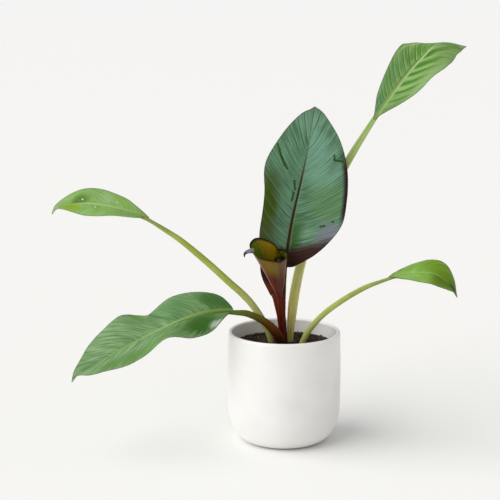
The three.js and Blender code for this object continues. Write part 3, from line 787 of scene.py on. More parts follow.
def veined(finish, colour, veins, phase, out):
    """Side veins: painted shade in the sunken seam between two pleats, a painted highlight on the lit side
    beside it and faint lines between.
    """
    # light is the painted highlight beside each vein, dark the painted shade in its seam
    light, dark, strength, fade, left_over = veins
    each = finish.noise(finish.joined(phase * 1.3, out * 0.8, 3), 1, 2)
    force = each.step(0.35, 0.62, 0.25 * strength, strength) * out.step(fade - 0.35, fade + 0.2, 1, left_over)
    turn = phase * (2 * math.pi)
    minor = (turn * 3).of("COSINE")
    colour = colour.to(dark, minor.step(0.4, 1, 0, 0.35) * force)
    broken = finish.noise(finish.spot(), 55, 2).step(0.35, 0.65, 0.3, 1)
    # painted highlight on the side of the pleat beside each vein that faces the light
    lit_side_highlight = (turn - 0.8).of("COSINE")
    colour = colour.to(light, lit_side_highlight.step(0.7, 0.98, 0, 0.5) * force * broken)
    # painted shade in the sunken seam of each vein
    seam = turn.of("COSINE")
    return colour.to(dark, seam.step(0.7, 0.98, 0, 0.75) * force)


def blade_finish(name, look, marks):
    """Blade of a leaf: wavering tones, side veins with painted highlight and shade, patches (some of them
    painted sheen), midrib, margin and underside.
    """
    roughness = look["roughness"]
    finish = Finish(name, roughness, look["gloss"])
    share, across, phase = finish.parts("place")
    rib, margin, under = finish.parts("reach")
    cloud = finish.noise(finish.spot(), 25)
    streak = finish.noise(finish.joined(phase * 1.6, across * 1.3), 1.5, 4)
    low, high = look["tones"]
    colour = finish.mix(streak.step(0.32, 0.68), low, high)
    colour = colour.to(high, cloud.step(0.45, 0.75, 0, 0.4))
    colour = patched(colour, look["patches"], share, across, cloud, streak)
    colour = veined(finish, colour, look["veins"], phase, across.of("ABSOLUTE"))
    if marks:
        place = SimpleNamespace(share=share, across=across, phase=phase, rib=rib, streak=streak)
        colour = marks(finish, colour, place)
    below = finish.mix(streak.step(0.3, 0.7, 0, 0.35), look["under"], low)
    colour = colour.to(below, under)
    foot, tip, strength, reached, reach = look["rib"]
    rib_colour = finish.mix(share.step(reached - 0.5, reached), foot, tip)
    on_rib = rib.step(1.1 * reach, 0.75 * reach, 0, strength)
    colour = colour.to(rib_colour, on_rib * share.step(0.6, 0.9, 1, 0))
    colour = colour.to(look["margin"], margin.step(1.1, 0.3, 0, 0.85))
    finish.set("Base Color", colour)
    fine = (phase * (FINE_VEINS * 2 * math.pi)).of("COSINE")
    finish.set("Normal", finish.relief(fine * 0.2 + streak, 0.3, 0.5))
    finish.set("Roughness", cloud.step(0.3, 0.7, roughness - 0.06, roughness + 0.1))
    return finish.material


def upright_marks(finish, colour, place):
    """Upright leaf: maroon foot, green strip along the midrib, pale lines beside it and rubbed spots."""
    share = place.share
    across = place.across
    x, _, z = finish.split(finish.spot())
    edge = across.step(-0.88, -0.97) * share.step(0.86, 0.7) * share.step(0.4, 0.5)
    colour = colour.to(PAINT["dark_edge"], edge)
    strip = across.step(0, -0.04) * across.step(-0.36, -0.12) * share.step(0.5, 0.32)
    colour = colour.to(PAINT["green_strip"], strip * 0.85)
    colour = colour.to(PAINT["beside_midrib"], place.rib.step(2.1, 1.5) * share.step(0.78, 0.6, 0, 0.6))
    for ends in RUBBED_LINES:
        away = finish.stroke(x, z, *ends)
        colour = colour.to(PAINT["rubbed"], away.step(1.5 * MM, 0.9 * MM, 0, 0.9))
    level = place.streak * 0.014 + (x * -0.26 + z)
    colour = colour.to(PAINT["maroon_foot"], level.step(0.234, 0.221))
    return colour.to(PAINT["red_foot"], level.step(0.205, 0.19, 0, 0.9))


def high_right_marks(finish, colour, place):
    """High right leaf: pleats right of its midrib with painted highlights on their crests and painted shade
    in their valleys, a painted shadow left of the midrib and a painted highlight along a fold left of it.
    """
    share = place.share
    across = place.across
    swing = (place.phase * math.pi).of("COSINE")
    right = across.step(-0.04, -0.1) * across.step(-0.85, -0.3) * share.step(0.12, 0.35, 0.3, 1)
    # painted highlight on the pleat crests and painted shade in the pleat valleys right of the midrib
    colour = colour.to(PAINT["pleat_painted_highlight"], swing.step(-0.1, -0.9, 0, 0.55) * right)
    colour = colour.to(PAINT["pleat_painted_shade"], swing.step(0.35, 0.95, 0, 0.85) * right)
    left = across.step(0.01, 0.03) * across.step(0.13, 0.06)
    colour = colour.to(PAINT["midrib_shadow"], left * 0.75)
    fold = (across - 0.84).of("ABSOLUTE")
    # painted highlight along the fold left of the midrib
    return colour.to(PAINT["fold_painted_highlight"], fold.step(0.06, 0.02, 0, 0.7) * share.step(0.45, 0.55))


def low_left_marks(finish, colour, place):
    """Low left leaf: shadow along the fold that starts at the notch in its upper margin."""
    x, _, z = finish.split(finish.spot())
    away = finish.stroke(x, z, *FOLD_LINE)
    dark = away.step(1.6 * MM, 0.4 * MM, 0, 0.75) * place.across.step(-0.05, -0.2)
    return colour.to(PAINT["fold_shadow"], dark)


def petiole_finish(name, look):
    """Petiole and midrib: colour along its length, long streaks and a faint lengthwise relief."""
    finish = Finish(name, 0.45, DARK_GLOSS)
    place, turn, _ = finish.parts("place")
    streak = finish.noise(finish.joined(place * 2.5, turn * 9), 3, 5)
    colour = finish.ramp(place, look["petiole"])
    colour = colour.to(look["streaks"], streak.step(0.52, 0.72, 0, 0.55))
    bloom = finish.noise(finish.spot(), 60).step(0.4, 0.7, 0, look.get("bloom", PETIOLE_BLOOM))
    finish.set("Base Color", colour.to(PAINT["bloom"], bloom))
    ribs = (turn * (PETIOLE_RIBS * 2 * math.pi)).of("SINE")
    finish.set("Normal", finish.relief(ribs * 0.3 + streak, 0.25, 0.5))
    finish.set("Roughness", streak.step(0.3, 0.7, 0.34, 0.48))
    return finish.material


def half_blade(skin, leaf, side, columns, pleat_depth, thickness):
    """One half of a blade as a closed thin skin; its rows run like veins from the midrib to the edge."""
    form = leaf.form
    edge = form["left_edge"] if side > 0 else form["right_edge"]
    ripple = form.get("left_ripple" if side > 0 else "right_ripple")
    lag, last_foot = form["left_veins"] if side > 0 else form["right_veins"]
    outline = Line([(share * leaf.length, width, 0) for share, width in edge])
    draw = random.Random(BLADE_SEEDS[side])
    count = form["pleats"]
    depths = [draw.uniform(*PLEAT_DEPTHS) for _ in range(count + 1)]
    widths = [draw.uniform(*PLEAT_WIDTHS) for _ in range(count)]
    marks = [sum(widths[:k]) / sum(widths) for k in range(count + 1)]
    rows = ROWS_PER_PLEAT * count + 1
    rim = KDTree(RIM_SAMPLES + 1)
    for k in range(RIM_SAMPLES + 1):
        rim.insert(outline.at(outline.place_of(k / RIM_SAMPLES)), k)
    rim.balance()
    sheet = []
    notes = []
    for i in range(rows):
        pleat, part = divmod(i, ROWS_PER_PLEAT)
        arc = marks[pleat]
        if part:
            arc += (marks[pleat + 1] - arc) * part / ROWS_PER_PLEAT
        end = outline.at(outline.place_of(arc))
        start = edge[0][0] + (last_foot - edge[0][0]) * arc ** lag
        lift = between(ripple, arc ** RIPPLE_PACE)[0] if ripple else 0
        width = max(end.y, BLADE_LEAST_WIDTH)
        girth = leaf.girth(start)
        near = min(GROOVE_MOST_SHARE, GROOVE_REACH * girth / width)
        row = []
        for j in range(columns + 1):
            if j <= GROOVE_COLUMNS:
                v = near * j / GROOVE_COLUMNS
            else:
                v = near + (1 - near) * (j - GROOVE_COLUMNS) / (columns - GROOVE_COLUMNS)
            share = start + (end.x / leaf.length - start) * v ** VEIN_SWEEP
            rise = lift * v ** RIPPLE_REACH
            row.append(leaf.blade_point(share, width * v, side, rise))
            away = rim.find((share * leaf.length, width * v, 0))[2]
            notes.append((share, v, i / ROWS_PER_PLEAT, width * v / girth, away))
        sheet.append(row)

    def normal(i, j):
        along = sheet[min(i + 1, rows - 1)][j] - sheet[max(i - 1, 0)][j]
        across = sheet[i][min(j + 1, columns)] - sheet[i][max(j - 1, 0)]
        return (along.cross(across) * side).normalized()

    def put(ring, turn):
        below = turn > columns
        j = 2 * columns + 1 - turn if below else turn
        share, v, phase, rib, margin = notes[ring * (columns + 1) + j]
        pillow = abs(math.sin(math.pi * phase)) ** PLEAT_ROUNDNESS
        fade = smoothstep(v, 0.02, 0.15) * (1 - 0.8 * smoothstep(v, 0.65, 1))
        fade *= 1 - smoothstep(share, 0.9, 1)
        dip = GROOVE_DEPTH * leaf.girth(share) * (1 - smoothstep(rib, 0, GROOVE_REACH))
        lift = pleat_depth * depths[int(phase)] * fade * (pillow - 0.5) - dip
        lift += (-0.5 if below else 0.5) * thickness * (1 - 0.9 * smoothstep(v, 0.7, 1))
        point = sheet[ring][j] + normal(ring, j) * lift
        return point, Vector((share, side * v, phase)), Vector((rib, margin, 1.0 if below else 0.0))

    skin.rolled(rows, 2 * columns + 2, put, 0)


def petiole_tube(skin, leaf):
    """Petiole and midrib as one channelled tube, which closes and hangs below the blade."""
    corners = PETIOLE_SECTION
    section = []
    for k in range(len(corners)):
        four = [Vector(corners[(k + n) % len(corners)]) for n in (-1, 0, 1, 2)]
        start, first, square, cube = Line.span(*four)
        for n in range(PETIOLE_CORNER_STEPS):
            u = n / PETIOLE_CORNER_STEPS
            section.append(start + first * u + square * u * u + cube * u ** 3)

    def put(ring, side):
        place = -1 + 2 * ring / (PETIOLE_RINGS - 1)
        point, left, up = leaf.frame(place)
        radius = leaf.girth(place)
        under_blade = smoothstep(place, -0.2, 0)
        x, open_height, closed_height = section[side]
        height = open_height + (closed_height - open_height - MIDRIB_DROP) * under_blade
        point = point - left * x * radius + up * height * radius
        return point, Vector((place, side / len(section), 0)), Vector((0, 0, 0))

    skin.rolled(PETIOLE_RINGS, len(section), put, 1)


def make_leaf(name, settings, columns=20, marks=None, extra_skin=None, extra_finishes=()):
    """A whole leaf; extra_skin adds more to its mesh, with extra_finishes for that."""
    leaf = Leaf(name)
    look = LOOKS[name]
    skin = Skin()
    for side in BLADE_SEEDS:
        half_blade(skin, leaf, side, columns, settings.pleat_depth / MM, settings.blade_thickness / MM)
    petiole_tube(skin, leaf)
    if extra_skin:
        extra_skin(skin)
    finishes = [blade_finish(name + "_blade", look, marks), petiole_finish(name + "_petiole", look)]
    skin.finished(name + "_grown", [*finishes, *extra_finishes], name)


def droplets(skin):
    """Water drops that lie on the high left leaf."""
    leaf = Leaf("leaf_high_left")
    for share, side, width, radius in DROPLETS:
        point = leaf.blade_point(share, width, side, 0)
        above = (leaf.blade_point(share, width, side, 1) - point).normalized()
        stand = above.to_track_quat("Z", "Y").to_matrix().to_4x4()
        place = Matrix.Translation(point + above * radius * DROPLET_FLATNESS) @ stand
        shape = Matrix.Diagonal((1, 1, DROPLET_FLATNESS, 1))
        made = bmesh.ops.create_uvsphere(skin.mesh, u_segments=20, v_segments=12, radius=radius,
                                         matrix=place @ shape)
        for face in {face for vert in made["verts"] for face in vert.link_faces}:
            face.material_index = 2


def droplet_finish():
    """Water drop painted nearly white, a painted glint in place of clear water."""
    finish = Finish("water_drop", 0.06, 0.8)
    cloud = finish.noise(finish.spot(), 400, 2)
    # both colours are painted glint; the water of the drop is clear
    finish.set("Base Color", finish.mix(cloud.step(0.35, 0.65), PAINT["drop"], PAINT["drop_glint_tint"]))
    return finish.material


def rolled_sheaths(skin):
    """Stem of rolled sheaths, with the edge of each outer sheath standing out."""
    foot = STEM_RINGS[0][0]
    top = STEM_RINGS[-1][0]

    def put(ring, side):
        height = foot + (top - foot) * ring / (SHEATH_RINGS - 1)
        x, y, width, depth = between(STEM_RINGS, height)
        turn = 360 * side / SHEATH_SIDES
        climb = (height - foot) / (top - foot)
        step = 0
        line = 0
        for low, high, rise in SHEATH_EDGES:
            after = (turn - (low + (high - low) * climb)) % 360
            if after < SHEATH_WIDTH:
                step += rise * (1 - after / SHEATH_WIDTH) ** 2
            line = max(line, 1 - min(after, 360 - after) / SHEATH_LINE_WIDTH)
        angle = math.radians(turn)
        grow = step - SHEATH_SINK
        point = Vector((x + (width + grow) * math.cos(angle), y + (depth + grow) * math.sin(angle), height))
        return point, Vector((climb, turn / 360, line)), Vector((0, 0, 0))

    skin.rolled(SHEATH_RINGS, SHEATH_SIDES, put, 2)


def sheath_finish(colour):
    """Rolled sheaths: dark red at the foot, browner at the top, with streaks and a painted highlight along
    the sheath edges.
    """
    finish = Finish("rolled_sheaths", 0.45, SHEATH_GLOSS)
    climb, turn, line = finish.parts("place")
    streak = finish.noise(finish.joined(climb * 1.5, turn * 14), 2.5, 5)
    tint = finish.mix(streak.step(0.35, 0.7), colour, PAINT["sheath_streak"])
    tint = tint.to(PAINT["sheath_foot"], climb.step(0.42, 0.15, 0, 0.75))
    tint = tint.to(PAINT["sheath_top"], climb.step(0.6, 0.85, 0, 0.4))
    # painted highlight along the edge of each outer sheath
    tint = tint.to(PAINT["sheath_edge_highlight"], line.step(0.3, 1, 0, 0.7))
    finish.set("Base Color", tint)
    finish.set("Normal", finish.relief(streak, 0.3, 0.6))
    return finish.material


def furl_point(angle, share, grow=0.0):
    """Point of the funnel at an angle in degrees and a share of the way from its foot to its rim."""
    rim_radius, height = between(FURL_RIM, angle)
    turn = math.radians(angle)
    widening = share ** (1 + FURL_FLARE * max(0, -math.cos(turn)))
    radius = FURL_CORE_RADIUS + (rim_radius - FURL_CORE_RADIUS) * widening + grow
    centre = FURL_FOOT.lerp(FURL_MOUTH, height * share)
    return centre + Vector((radius * math.cos(turn), radius * math.sin(turn), 0))


def furled_sheet(skin, thickness):
    """The blade rolled into a funnel: one sheet that goes round more than once."""
    first = FURL_RIM[0][0]
    last = FURL_RIM[-1][0]
    rows = FURL_ROWS

    def put(ring, side):
        angle = first + (last - first) * ring / (FURL_TURNS - 1)
        inner = side > rows
        j = min(2 * rows + 1 - side if inner else side, rows)
        share = FURL_START + (1 - FURL_START) * j / rows
        margin = min(1 - share, (angle - first) / 90, (last - angle) / 90)
        half = 0.5 * thickness * min(1, 0.3 + 2.5 * share) * (1 - 0.85 * smoothstep(share, 0.9, 1))
        crease = FURL_CREASE_DEPTH * math.sin(math.radians(angle * FURL_CREASES))
        crease *= smoothstep(share, 0.1, 0.4) * (1 - smoothstep(share, 0.8, 1))
        point = furl_point(angle, share, (-half if inner else half) + crease)
        return point, Vector((angle / 360, share, 1.0 if inner else 0.0)), Vector((0, margin, 0))

    skin.rolled(FURL_TURNS, 2 * rows + 2, put, 0)


def furled_core(skin):
    """The tightly rolled lower end of the funnel."""

    def put(ring, side):
        share = FURL_CORE_SHARE * ring / (FURL_CORE_RINGS - 1)
        angle = FURL_OUTER_START + 360 * side / FURL_CORE_SIDES
        point = furl_point(angle, share, -FURL_CORE_SINK)
        return point, Vector((angle / 360, share, 0)), Vector((0, 1, 0))

    skin.rolled(FURL_CORE_RINGS, FURL_CORE_SIDES, put, 0)


def furled_peg(skin):
    """Foot of the funnel, a round peg inside the rolled sheaths."""
    line = Line(FURL_PEG)

    def put(ring, side):
        turn = side / FURL_PEG_SIDES
        angle = 2 * math.pi * turn
        centre = line.at(line.place_of(ring / (FURL_PEG_RINGS - 1)))
        point = centre + FURL_CORE_RADIUS * Vector((math.cos(angle), math.sin(angle), 0))
        return point, Vector((turn, 0, 0)), Vector((0, 1, 0))

    skin.rolled(FURL_PEG_RINGS, FURL_PEG_SIDES, put, 0)


def furled_lip(skin):
    """Pointed lip at the left of the mouth: a flat tapering tube that hooks down."""
    line = Line([p[:3] for p in FURL_LIP])
    widths = [(k / (len(FURL_LIP) - 1), p[3]) for k, p in enumerate(FURL_LIP)]

    def put(ring, side):
        share = ring / (FURL_LIP_RINGS - 1)
        t = line.place_of(share)
        along = line.heading(t)
        sideways = Vector((0, -1, 0)).cross(along).normalized()
        thick = along.cross(sideways)
        radius = between(widths, t / (len(FURL_LIP) - 1))[0]
        angle = 2 * math.pi * side / FURL_LIP_SIDES
        point = line.at(t) + sideways * radius * math.cos(angle)
        point += thick * min(radius, FURL_LIP_HALF_THICKNESS) * math.sin(angle)
        return point, Vector((share, side / FURL_LIP_SIDES, 0)), Vector((0, 0, 0))

    skin.rolled(FURL_LIP_RINGS, FURL_LIP_SIDES, put, 1)


def furled_finish(settings):
    """Rolled blade: bronze outside with a painted warm glow below the mouth standing in for light through the
    blade, green and amber inside with painted shade deep in the funnel and a painted shadow in the mouth.
    """
    finish = Finish("furled_blade", 0.45, DARK_GLOSS)
    turn, share, inner = finish.parts("place")
    margin = finish.parts("reach")[1]
    streak = finish.noise(finish.joined(turn * 16, share * 1.2), 3, 5)
    outside = finish.mix(streak.step(0.3, 0.7), (*settings.outside, 1.0), PAINT["furl_streak"])
    front = (turn - FURL_FRONT).of("ABSOLUTE")
    # painted warm glow standing in for light shining through the blade below the mouth
    outside = outside.to(PAINT["furl_painted_glow"], front.step(0.15, 0.03) * share.step(0.5, 0.8) * 0.85)
    outside = outside.to(PAINT["furl_pale"], share.step(0.45, 0.9) * front.step(0.06, 0.16) * 0.6)
    for place in FURL_RIDGES:
        ridge = (turn - place).of("ABSOLUTE")
        outside = outside.to(PAINT["furl_ridge"], ridge.step(0.026, 0.006, 0, 0.75))
    inside = finish.mix(turn.step(0.43, 0.3), PAINT["furl_green"], PAINT["furl_olive"])
    inside = inside.to(PAINT["furl_dark"], turn.step(0.24, 0.1))
    inside = inside.to(PAINT["furl_amber"], streak.step(0.42, 0.68, 0, 0.55))
    # painted shade deep inside the funnel
    inside = inside.to(PAINT["furl_deep_shade"], share.step(0.62, 0.3))
    # painted dark green shadow in the mouth
    x, _, z = finish.split(finish.spot())
    middle_x, middle_z, half_width, half_height = (number * MM for number in FURL_SHADE)
    away = apart((x - middle_x) / half_width, (z - middle_z) / half_height)
    inside = inside.to(PAINT["furl_mouth_shadow"], away.step(1.05, 0.8, 0, 0.9))
    colour = outside.to(inside, inner)
    finish.set("Base Color", colour.to(PAINT["furl_margin"], margin.step(0.06, 0.015, 0, 0.95)))
    finish.set("Normal", finish.relief(streak, 0.3, 0.6))
    return finish.material


def lip_finish():
    """Lip of the furled leaf: greyish lilac, dark at its hooked end."""
    finish = Finish("furled_tip", 0.45, 0.45)
    share = finish.parts("place")[0]
    mottle = finish.noise(finish.spot(), 300, 4)
    colour = finish.mix(share.step(0.45, 0.75), PAINT["lip"], PAINT["lip_end"])
    finish.set("Base Color", colour.to(PAINT["lip_mottle"], mottle.step(0.4, 0.7, 0, 0.35)))
    finish.set("Normal", finish.relief(mottle, 0.2, 0.6))
    return finish.material


def pot_line(offset, steps):
    """Outer line of the pot from the base to the rim, moved inwards by an offset."""
    swell = POT_BELLY_RADIUS - POT_BASE_RADIUS
    line = []
    for i in range(steps + 1):
        turn = math.pi / 2 * i / steps
        radius = POT_BASE_RADIUS + swell * math.sin(turn) ** POT_CORNER_ROUNDNESS - offset
        drop = max(math.cos(turn), 0) ** POT_CORNER_ROUNDNESS
        line.append((radius, POT_CORNER_HEIGHT * (1 - drop) + offset * math.cos(turn)))
    for i in range(1, steps):
        share = POT_WALL_END * i / (steps - 1)
        radius = POT_BELLY_RADIUS + POT_WALL_SWELL * share * (1 - share)
        radius += (POT_RIM_RADIUS - POT_BELLY_RADIUS) * share
        line.append((radius - offset, POT_CORNER_HEIGHT + share * (POT_HEIGHT - POT_CORNER_HEIGHT)))
    return line


def turned(skin, line, steps):
    """Solid of revolution of (radius, height) points that start and end on the axis."""
    verts = [skin.mesh.verts.new((radius, 0, height)) for radius, height in line]
    edges = [skin.mesh.edges.new(pair) for pair in zip(verts, verts[1:])]
    bmesh.ops.spin(skin.mesh, geom=verts + edges, axis=(0, 0, 1), cent=(0, 0, 0), angle=2 * math.pi,
                   steps=steps, use_merge=True)
    bmesh.ops.remove_doubles(skin.mesh, verts=skin.mesh.verts, dist=MERGE)


def pot_finish(settings):
    """Satin white glaze: faint mottling and pinholes, an inner wall painted whiter as painted light, and a
    bare foot.
    """
    finish = Finish("satin_glaze", settings.roughness, 0.5)
    spot = finish.spot()
    cloud = finish.noise(spot, 14, 3)
    speck = finish.noise(spot, 900, 2)
    x, y, height = finish.split(spot)
    colour = finish.mix(cloud.step(0.35, 0.7), (*settings.glaze, 1.0), PAINT["glaze_mottle"])
    colour = colour.to(PAINT["pinhole"], speck.step(0.7, 0.8, 0, 0.12))
    colour = colour.to(PAINT["bare_foot"], height.step(1.5 * MM, 0.4 * MM, 0, 0.7))
    # the inner wall near the rim is painted whiter, standing in for light inside the pot
    inner = (POT_RIM_RADIUS - 0.6 * POT_WALL) * MM
    inside = apart(x, y).step(inner, inner - 0.2 * POT_WALL * MM)
    inside = inside * height.step(0.6 * POT_HEIGHT * MM, 0.7 * POT_HEIGHT * MM)
    finish.set("Base Color", colour.to(PAINT["inner_wall_painted_light"], inside))
    fine = finish.relief(speck, 0.06, 0.4)
    finish.set("Normal", finish.relief(cloud, 0.5, 0.25, Normal=fine))
    finish.set("Roughness", cloud.step(0.3, 0.7, settings.roughness - 0.05, settings.roughness + 0.08))
    return finish.material


def scatter_crumbs(skin, settings, reach):
    """Loose crumbs over the surface, made a handful at a time because that is quicker."""
    draw = random.Random(5)
    size = settings.crumb_size / MM
    for _ in range(settings.crumbs // CRUMB_HANDFUL):
        handful = bmesh.new()
        for _ in range(CRUMB_HANDFUL):
            radius = size * draw.uniform(0.5, 1.15) ** 1.5
            away = reach * math.sqrt(draw.random())
            angle = draw.uniform(0, 2 * math.pi)
            height = SOIL_TOP + draw.uniform(-0.3, 0.8)
            spot = Vector((away * math.cos(angle), away * math.sin(angle), height))
            axis = Vector((draw.random(), draw.random(), 1)).normalized()
            turn = Matrix.Rotation(draw.uniform(0, 2 * math.pi), 4, axis)
            width = draw.uniform(0.7, 1.3)
            depth = draw.uniform(0.7, 1.3)
            shape = Matrix.Diagonal((width, depth, draw.uniform(0.5, 0.9), 1))
            bmesh.ops.create_icosphere(handful, subdivisions=1, radius=radius,
                                       matrix=Matrix.Translation(spot) @ turn @ shape)
        loose = bpy.data.meshes.new("crumbs")
        handful.to_mesh(loose)
        handful.free()
        skin.mesh.from_mesh(loose)
        bpy.data.meshes.remove(loose)


def soil_finish(settings):
    """Damp potting mix: dark crumbs with some lighter fibres, and painted shade in the hollows between
    grains.
    """
    finish = Finish("potting_mix", 0.85, 0.25)
    spot = finish.spot()
    grain = finish.noise(spot, 420, 5, 0.7)
    damp = finish.noise(spot, 60, 3)
    # darkest in the hollows of the grain bump: the mix's own dark colour with painted shade between grains
    colour = finish.mix(grain.step(0.4, 0.62), PAINT["soil_gap_shade"], (*settings.colour, 1.0))
    colour = colour.to(PAINT["soil_fibre"], grain.step(0.6, 0.7, 0, 0.8))
    finish.set("Base Color", colour.to(PAINT["soil_damp"], damp.step(0.4, 0.65, 0, 0.5)))
    finish.set("Normal", finish.relief(grain, 0.8, 0.9))
    return finish.material


def colour_property(name, code, description):
    return bpy.props.FloatVectorProperty(name=name, description=description, subtype="COLOR", size=3,
                                         min=0, max=1, default=linear(code)[:3])


def length_property(name, millimetres, description):
    return bpy.props.FloatProperty(name=name, description=description, unit="LENGTH",
                                   default=millimetres * MM, min=0, precision=5)


class PotSettings(bpy.types.PropertyGroup):
    """Finish of the pot."""

    glaze: colour_property("Glaze", "#f1f0ee", "Colour of the glaze")
    roughness: bpy.props.FloatProperty(name="Roughness", description="Roughness of the glaze", default=0.36,
                                       min=0, max=1)
    segments: bpy.props.IntProperty(name="Segments", description="Faces round the pot", default=144, min=24)


class SoilSettings(bpy.types.PropertyGroup):
    """Surface of the potting mix."""

    colour: colour_property("Colour", "#4b3c2d", "Colour of the damp mix")
    crumbs: bpy.props.IntProperty(name="Crumbs", description="Loose crumbs on the surface",
                                  default=1500, min=0)
    crumb_size: length_property("Crumb size", 1.1, "Mean radius of a crumb")
    unevenness: length_property("Unevenness", 1.6, "Height of the bumps in the surface")


class LeafSettings(bpy.types.PropertyGroup):
    """Relief of the leaves."""

    pleat_depth: length_property("Pleat depth", 0.55, "Depth of the pleats between side veins")
    blade_thickness: length_property("Blade thickness", 0.5, "Thickness of a blade near its midrib")


class SheathSettings(bpy.types.PropertyGroup):
    """Rolled sheaths and the furled leaf."""

    sheath: colour_property("Sheath", "#401107", "Colour of the rolled sheaths")
    outside: colour_property("Outside", "#6b3426", "Colour of the furled leaf outside")
    thickness: length_property("Furled thickness", 0.5, "Thickness of the furled blade")


class StageSettings(bpy.types.PropertyGroup):
    """Floor and light."""

    floor: colour_property("Floor", "#fdfdfc", "Colour of the floor")
    key: bpy.props.FloatProperty(name="Key light", description="Strength of the light from the left",
                                 default=2.45, min=0)
    softness: bpy.props.FloatProperty(name="Softness", description="Apparent width of the light",
                                      subtype="ANGLE", default=math.radians(75), min=0)
    sky: bpy.props.FloatProperty(name="Sky", description="Strength of the light from all round",
                                 default=0.45, min=0)


class BANANA_OT_make_pot(bpy.types.Operator):
    """Make the pot"""

    bl_idname = "banana.make_pot"
    bl_label = "Make Pot"

    def execute(self, context):
        settings = context.scene.banana_pot
        skin = Skin()
        outer = pot_line(0, POT_STEPS)
        inner = [p for p in pot_line(POT_WALL, POT_STEPS) if p[1] > POT_FLOOR]
        lip = Vector((POT_RIM_RADIUS - POT_WALL / 2, POT_HEIGHT - POT_WALL / 2))
        angles = [math.pi * k / POT_RIM_STEPS for k in range(POT_RIM_STEPS + 1)]
        rim = [lip + POT_WALL / 2 * Vector((math.cos(angle), math.sin(angle))) for angle in angles]
        floor = [(inner[0][0], POT_FLOOR), (0, POT_FLOOR)]
        line = [(0, 0), (POT_BASE_RADIUS - POT_FOOT_INSET, 0), *outer, *rim, *reversed(inner), *floor]
        turned(skin, line, settings.segments)
        skin.finished("pot_glazed", [pot_finish(settings)], "pot")
        return {"FINISHED"}


class BANANA_OT_make_soil(bpy.types.Operator):
    """Make the potting mix"""

    bl_idname = "banana.make_soil"
    bl_label = "Make Potting Mix"

    def execute(self, context):
        settings = context.scene.banana_soil
        skin = Skin()
        low = POT_FLOOR + SOIL_GAP
        wall = pot_line(POT_WALL + SOIL_GAP, SOIL_WALL_STEPS)
        wall = [point for point in wall if POT_FLOOR + 1 < point[1] < SOIL_TOP - 6]
        side = POT_RIM_RADIUS - POT_WALL - SOIL_GAP
        top = [(side * (1 - k / SOIL_RINGS), SOIL_TOP) for k in range(1, SOIL_RINGS + 1)]
        line = [(0, low), (wall[0][0] - POT_FOOT_INSET, low), *wall, (side, SOIL_TOP - 1), *top]
        turned(skin, line, SOIL_SEGMENTS)
        bumps = settings.unevenness / MM
        for vert in skin.mesh.verts:
            if vert.co.z > SOIL_TOP - 0.5:
                fade = 1 - smoothstep(vert.co.xy.length, side - 5, side)
                vert.co.z += fade * bumps * 0.7 * noise.noise(vert.co * 0.11)
                vert.co.z += fade * bumps * 0.6 * noise.noise(vert.co * 0.45)
        scatter_crumbs(skin, settings, side - 1.5)
        skin.finished("soil_crumbly", [soil_finish(settings)], "soil")
        return {"FINISHED"}


class BANANA_OT_make_leaves(bpy.types.Operator):
    """Make the four leaves with long petioles"""

    bl_idname = "banana.make_leaves"
    bl_label = "Make Leaves"

    def execute(self, context):
        settings = context.scene.banana_leaves
        make_leaf("leaf_high_left", settings, extra_skin=droplets,
                  extra_finishes=[droplet_finish()])
        make_leaf("leaf_low_left", settings, columns=24, marks=low_left_marks)
        make_leaf("leaf_high_right", settings, marks=high_right_marks)
        make_leaf("leaf_low_right", settings)
        return {"FINISHED"}


class BANANA_OT_make_upright(bpy.types.Operator):
    """Make the upright leaf on its rolled sheaths"""

    bl_idname = "banana.make_upright"
    bl_label = "Make Upright Leaf"

    def execute(self, context):
        sheath = sheath_finish((*context.scene.banana_sheaths.sheath, 1.0))
        make_leaf("leaf_upright", context.scene.banana_leaves, columns=26,
                  marks=upright_marks, extra_skin=rolled_sheaths, extra_finishes=[sheath])
        return {"FINISHED"}


class BANANA_OT_make_furled(bpy.types.Operator):
    """Make the leaf that is still furled"""

    bl_idname = "banana.make_furled"
    bl_label = "Make Furled Leaf"

    def execute(self, context):
        settings = context.scene.banana_sheaths
        skin = Skin()
        furled_sheet(skin, settings.thickness / MM)
        furled_core(skin)
        furled_peg(skin)
        furled_lip(skin)
        finishes = [furled_finish(settings), lip_finish()]
        skin.finished("leaf_furled_grown", finishes, "leaf_furled")
        return {"FINISHED"}


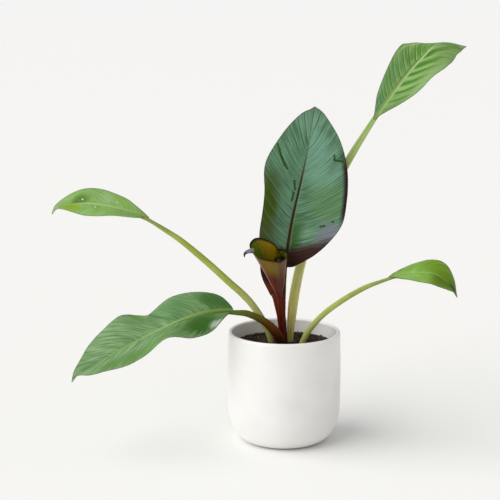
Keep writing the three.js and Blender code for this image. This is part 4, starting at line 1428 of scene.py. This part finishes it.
class BANANA_OT_make_stage(bpy.types.Operator):
    """Make the floor, the lights and the camera"""

    bl_idname = "banana.make_stage"
    bl_label = "Make Stage"

    def execute(self, context):
        scene = context.scene
        settings = scene.banana_stage
        mesh = bmesh.new()
        bmesh.ops.create_grid(mesh, x_segments=2, y_segments=2, size=FLOOR_HALF_SIZE)
        data = bpy.data.meshes.new("floor")
        mesh.to_mesh(data)
        mesh.free()
        floor = bpy.data.objects.new("floor", data)
        scene.collection.objects.link(floor)
        finish = Finish("pale_floor", 0.9, 0.2)
        finish.set("Base Color", (*settings.floor, 1.0))
        data.materials.append(finish.material)

        key = bpy.data.lights.new("key", "SUN")
        key.energy = settings.key
        key.angle = settings.softness
        key.color = (1.0, 0.985, 0.96)
        lamp = bpy.data.objects.new("key", key)
        lamp.rotation_euler = Vector(KEY_DIRECTION).to_track_quat("Z", "Y").to_euler()
        scene.collection.objects.link(lamp)

        world = bpy.data.worlds.new("studio")
        world.use_nodes = True
        tree = world.node_tree
        background = tree.nodes["Background"]
        direction = tree.nodes.new("ShaderNodeTexCoord")
        parts = tree.nodes.new("ShaderNodeSeparateXYZ")
        band = tree.nodes.new("ShaderNodeMapRange")
        band.inputs["From Min"].default_value = 0.02
        band.inputs["From Max"].default_value = 0.12
        band.inputs["To Min"].default_value = HORIZON
        band.inputs["To Max"].default_value = settings.sky
        tree.links.new(direction.outputs["Generated"], parts.inputs[0])
        tree.links.new(parts.outputs[2], band.inputs["Value"])
        tree.links.new(band.outputs[0], background.inputs["Strength"])
        background.inputs["Color"].default_value = (1, 1, 1, 1)
        scene.world = world

        lens = bpy.data.cameras.new("camera")
        lens.lens = CAMERA_LENS
        lens.sensor_width = CAMERA_SENSOR
        camera = bpy.data.objects.new("camera", lens)
        camera.location = CAMERA_PLACE
        camera.rotation_euler = (math.radians(90 - CAMERA_PITCH), 0, 0)
        scene.collection.objects.link(camera)
        scene.camera = camera
        scene.view_settings.view_transform = "Standard"
        return {"FINISHED"}


class BANANA_PT_plant(bpy.types.Panel):
    """Lists the steps that make the plant"""

    bl_idname = "BANANA_PT_plant"
    bl_label = "Banana Plant"
    bl_space_type = "VIEW_3D"
    bl_region_type = "UI"
    bl_category = "Banana"

    def draw(self, context):
        for operator in OPERATORS:
            self.layout.operator(operator.bl_idname)
        for name, group in SETTINGS.items():
            box = self.layout.box()
            box.label(text=group.__doc__)
            for key in group.__annotations__:
                box.prop(getattr(context.scene, name), key)


SETTINGS = {
    "banana_pot": PotSettings,
    "banana_soil": SoilSettings,
    "banana_leaves": LeafSettings,
    "banana_sheaths": SheathSettings,
    "banana_stage": StageSettings,
}
OPERATORS = [
    BANANA_OT_make_pot,
    BANANA_OT_make_soil,
    BANANA_OT_make_leaves,
    BANANA_OT_make_upright,
    BANANA_OT_make_furled,
    BANANA_OT_make_stage,
]


def register():
    for name, group in SETTINGS.items():
        bpy.utils.register_class(group)
        setattr(bpy.types.Scene, name, bpy.props.PointerProperty(type=group))
    for kind in (*OPERATORS, BANANA_PT_plant):
        bpy.utils.register_class(kind)


def unregister():
    for kind in reversed((*OPERATORS, BANANA_PT_plant)):
        bpy.utils.unregister_class(kind)
    for name, group in SETTINGS.items():
        delattr(bpy.types.Scene, name)
        bpy.utils.unregister_class(group)


def main():
    register()
    bpy.ops.banana.make_pot()
    bpy.ops.banana.make_soil()
    bpy.ops.banana.make_leaves()
    bpy.ops.banana.make_upright()
    bpy.ops.banana.make_furled()
    bpy.ops.banana.make_stage()


if __name__ == "__main__":
    main()
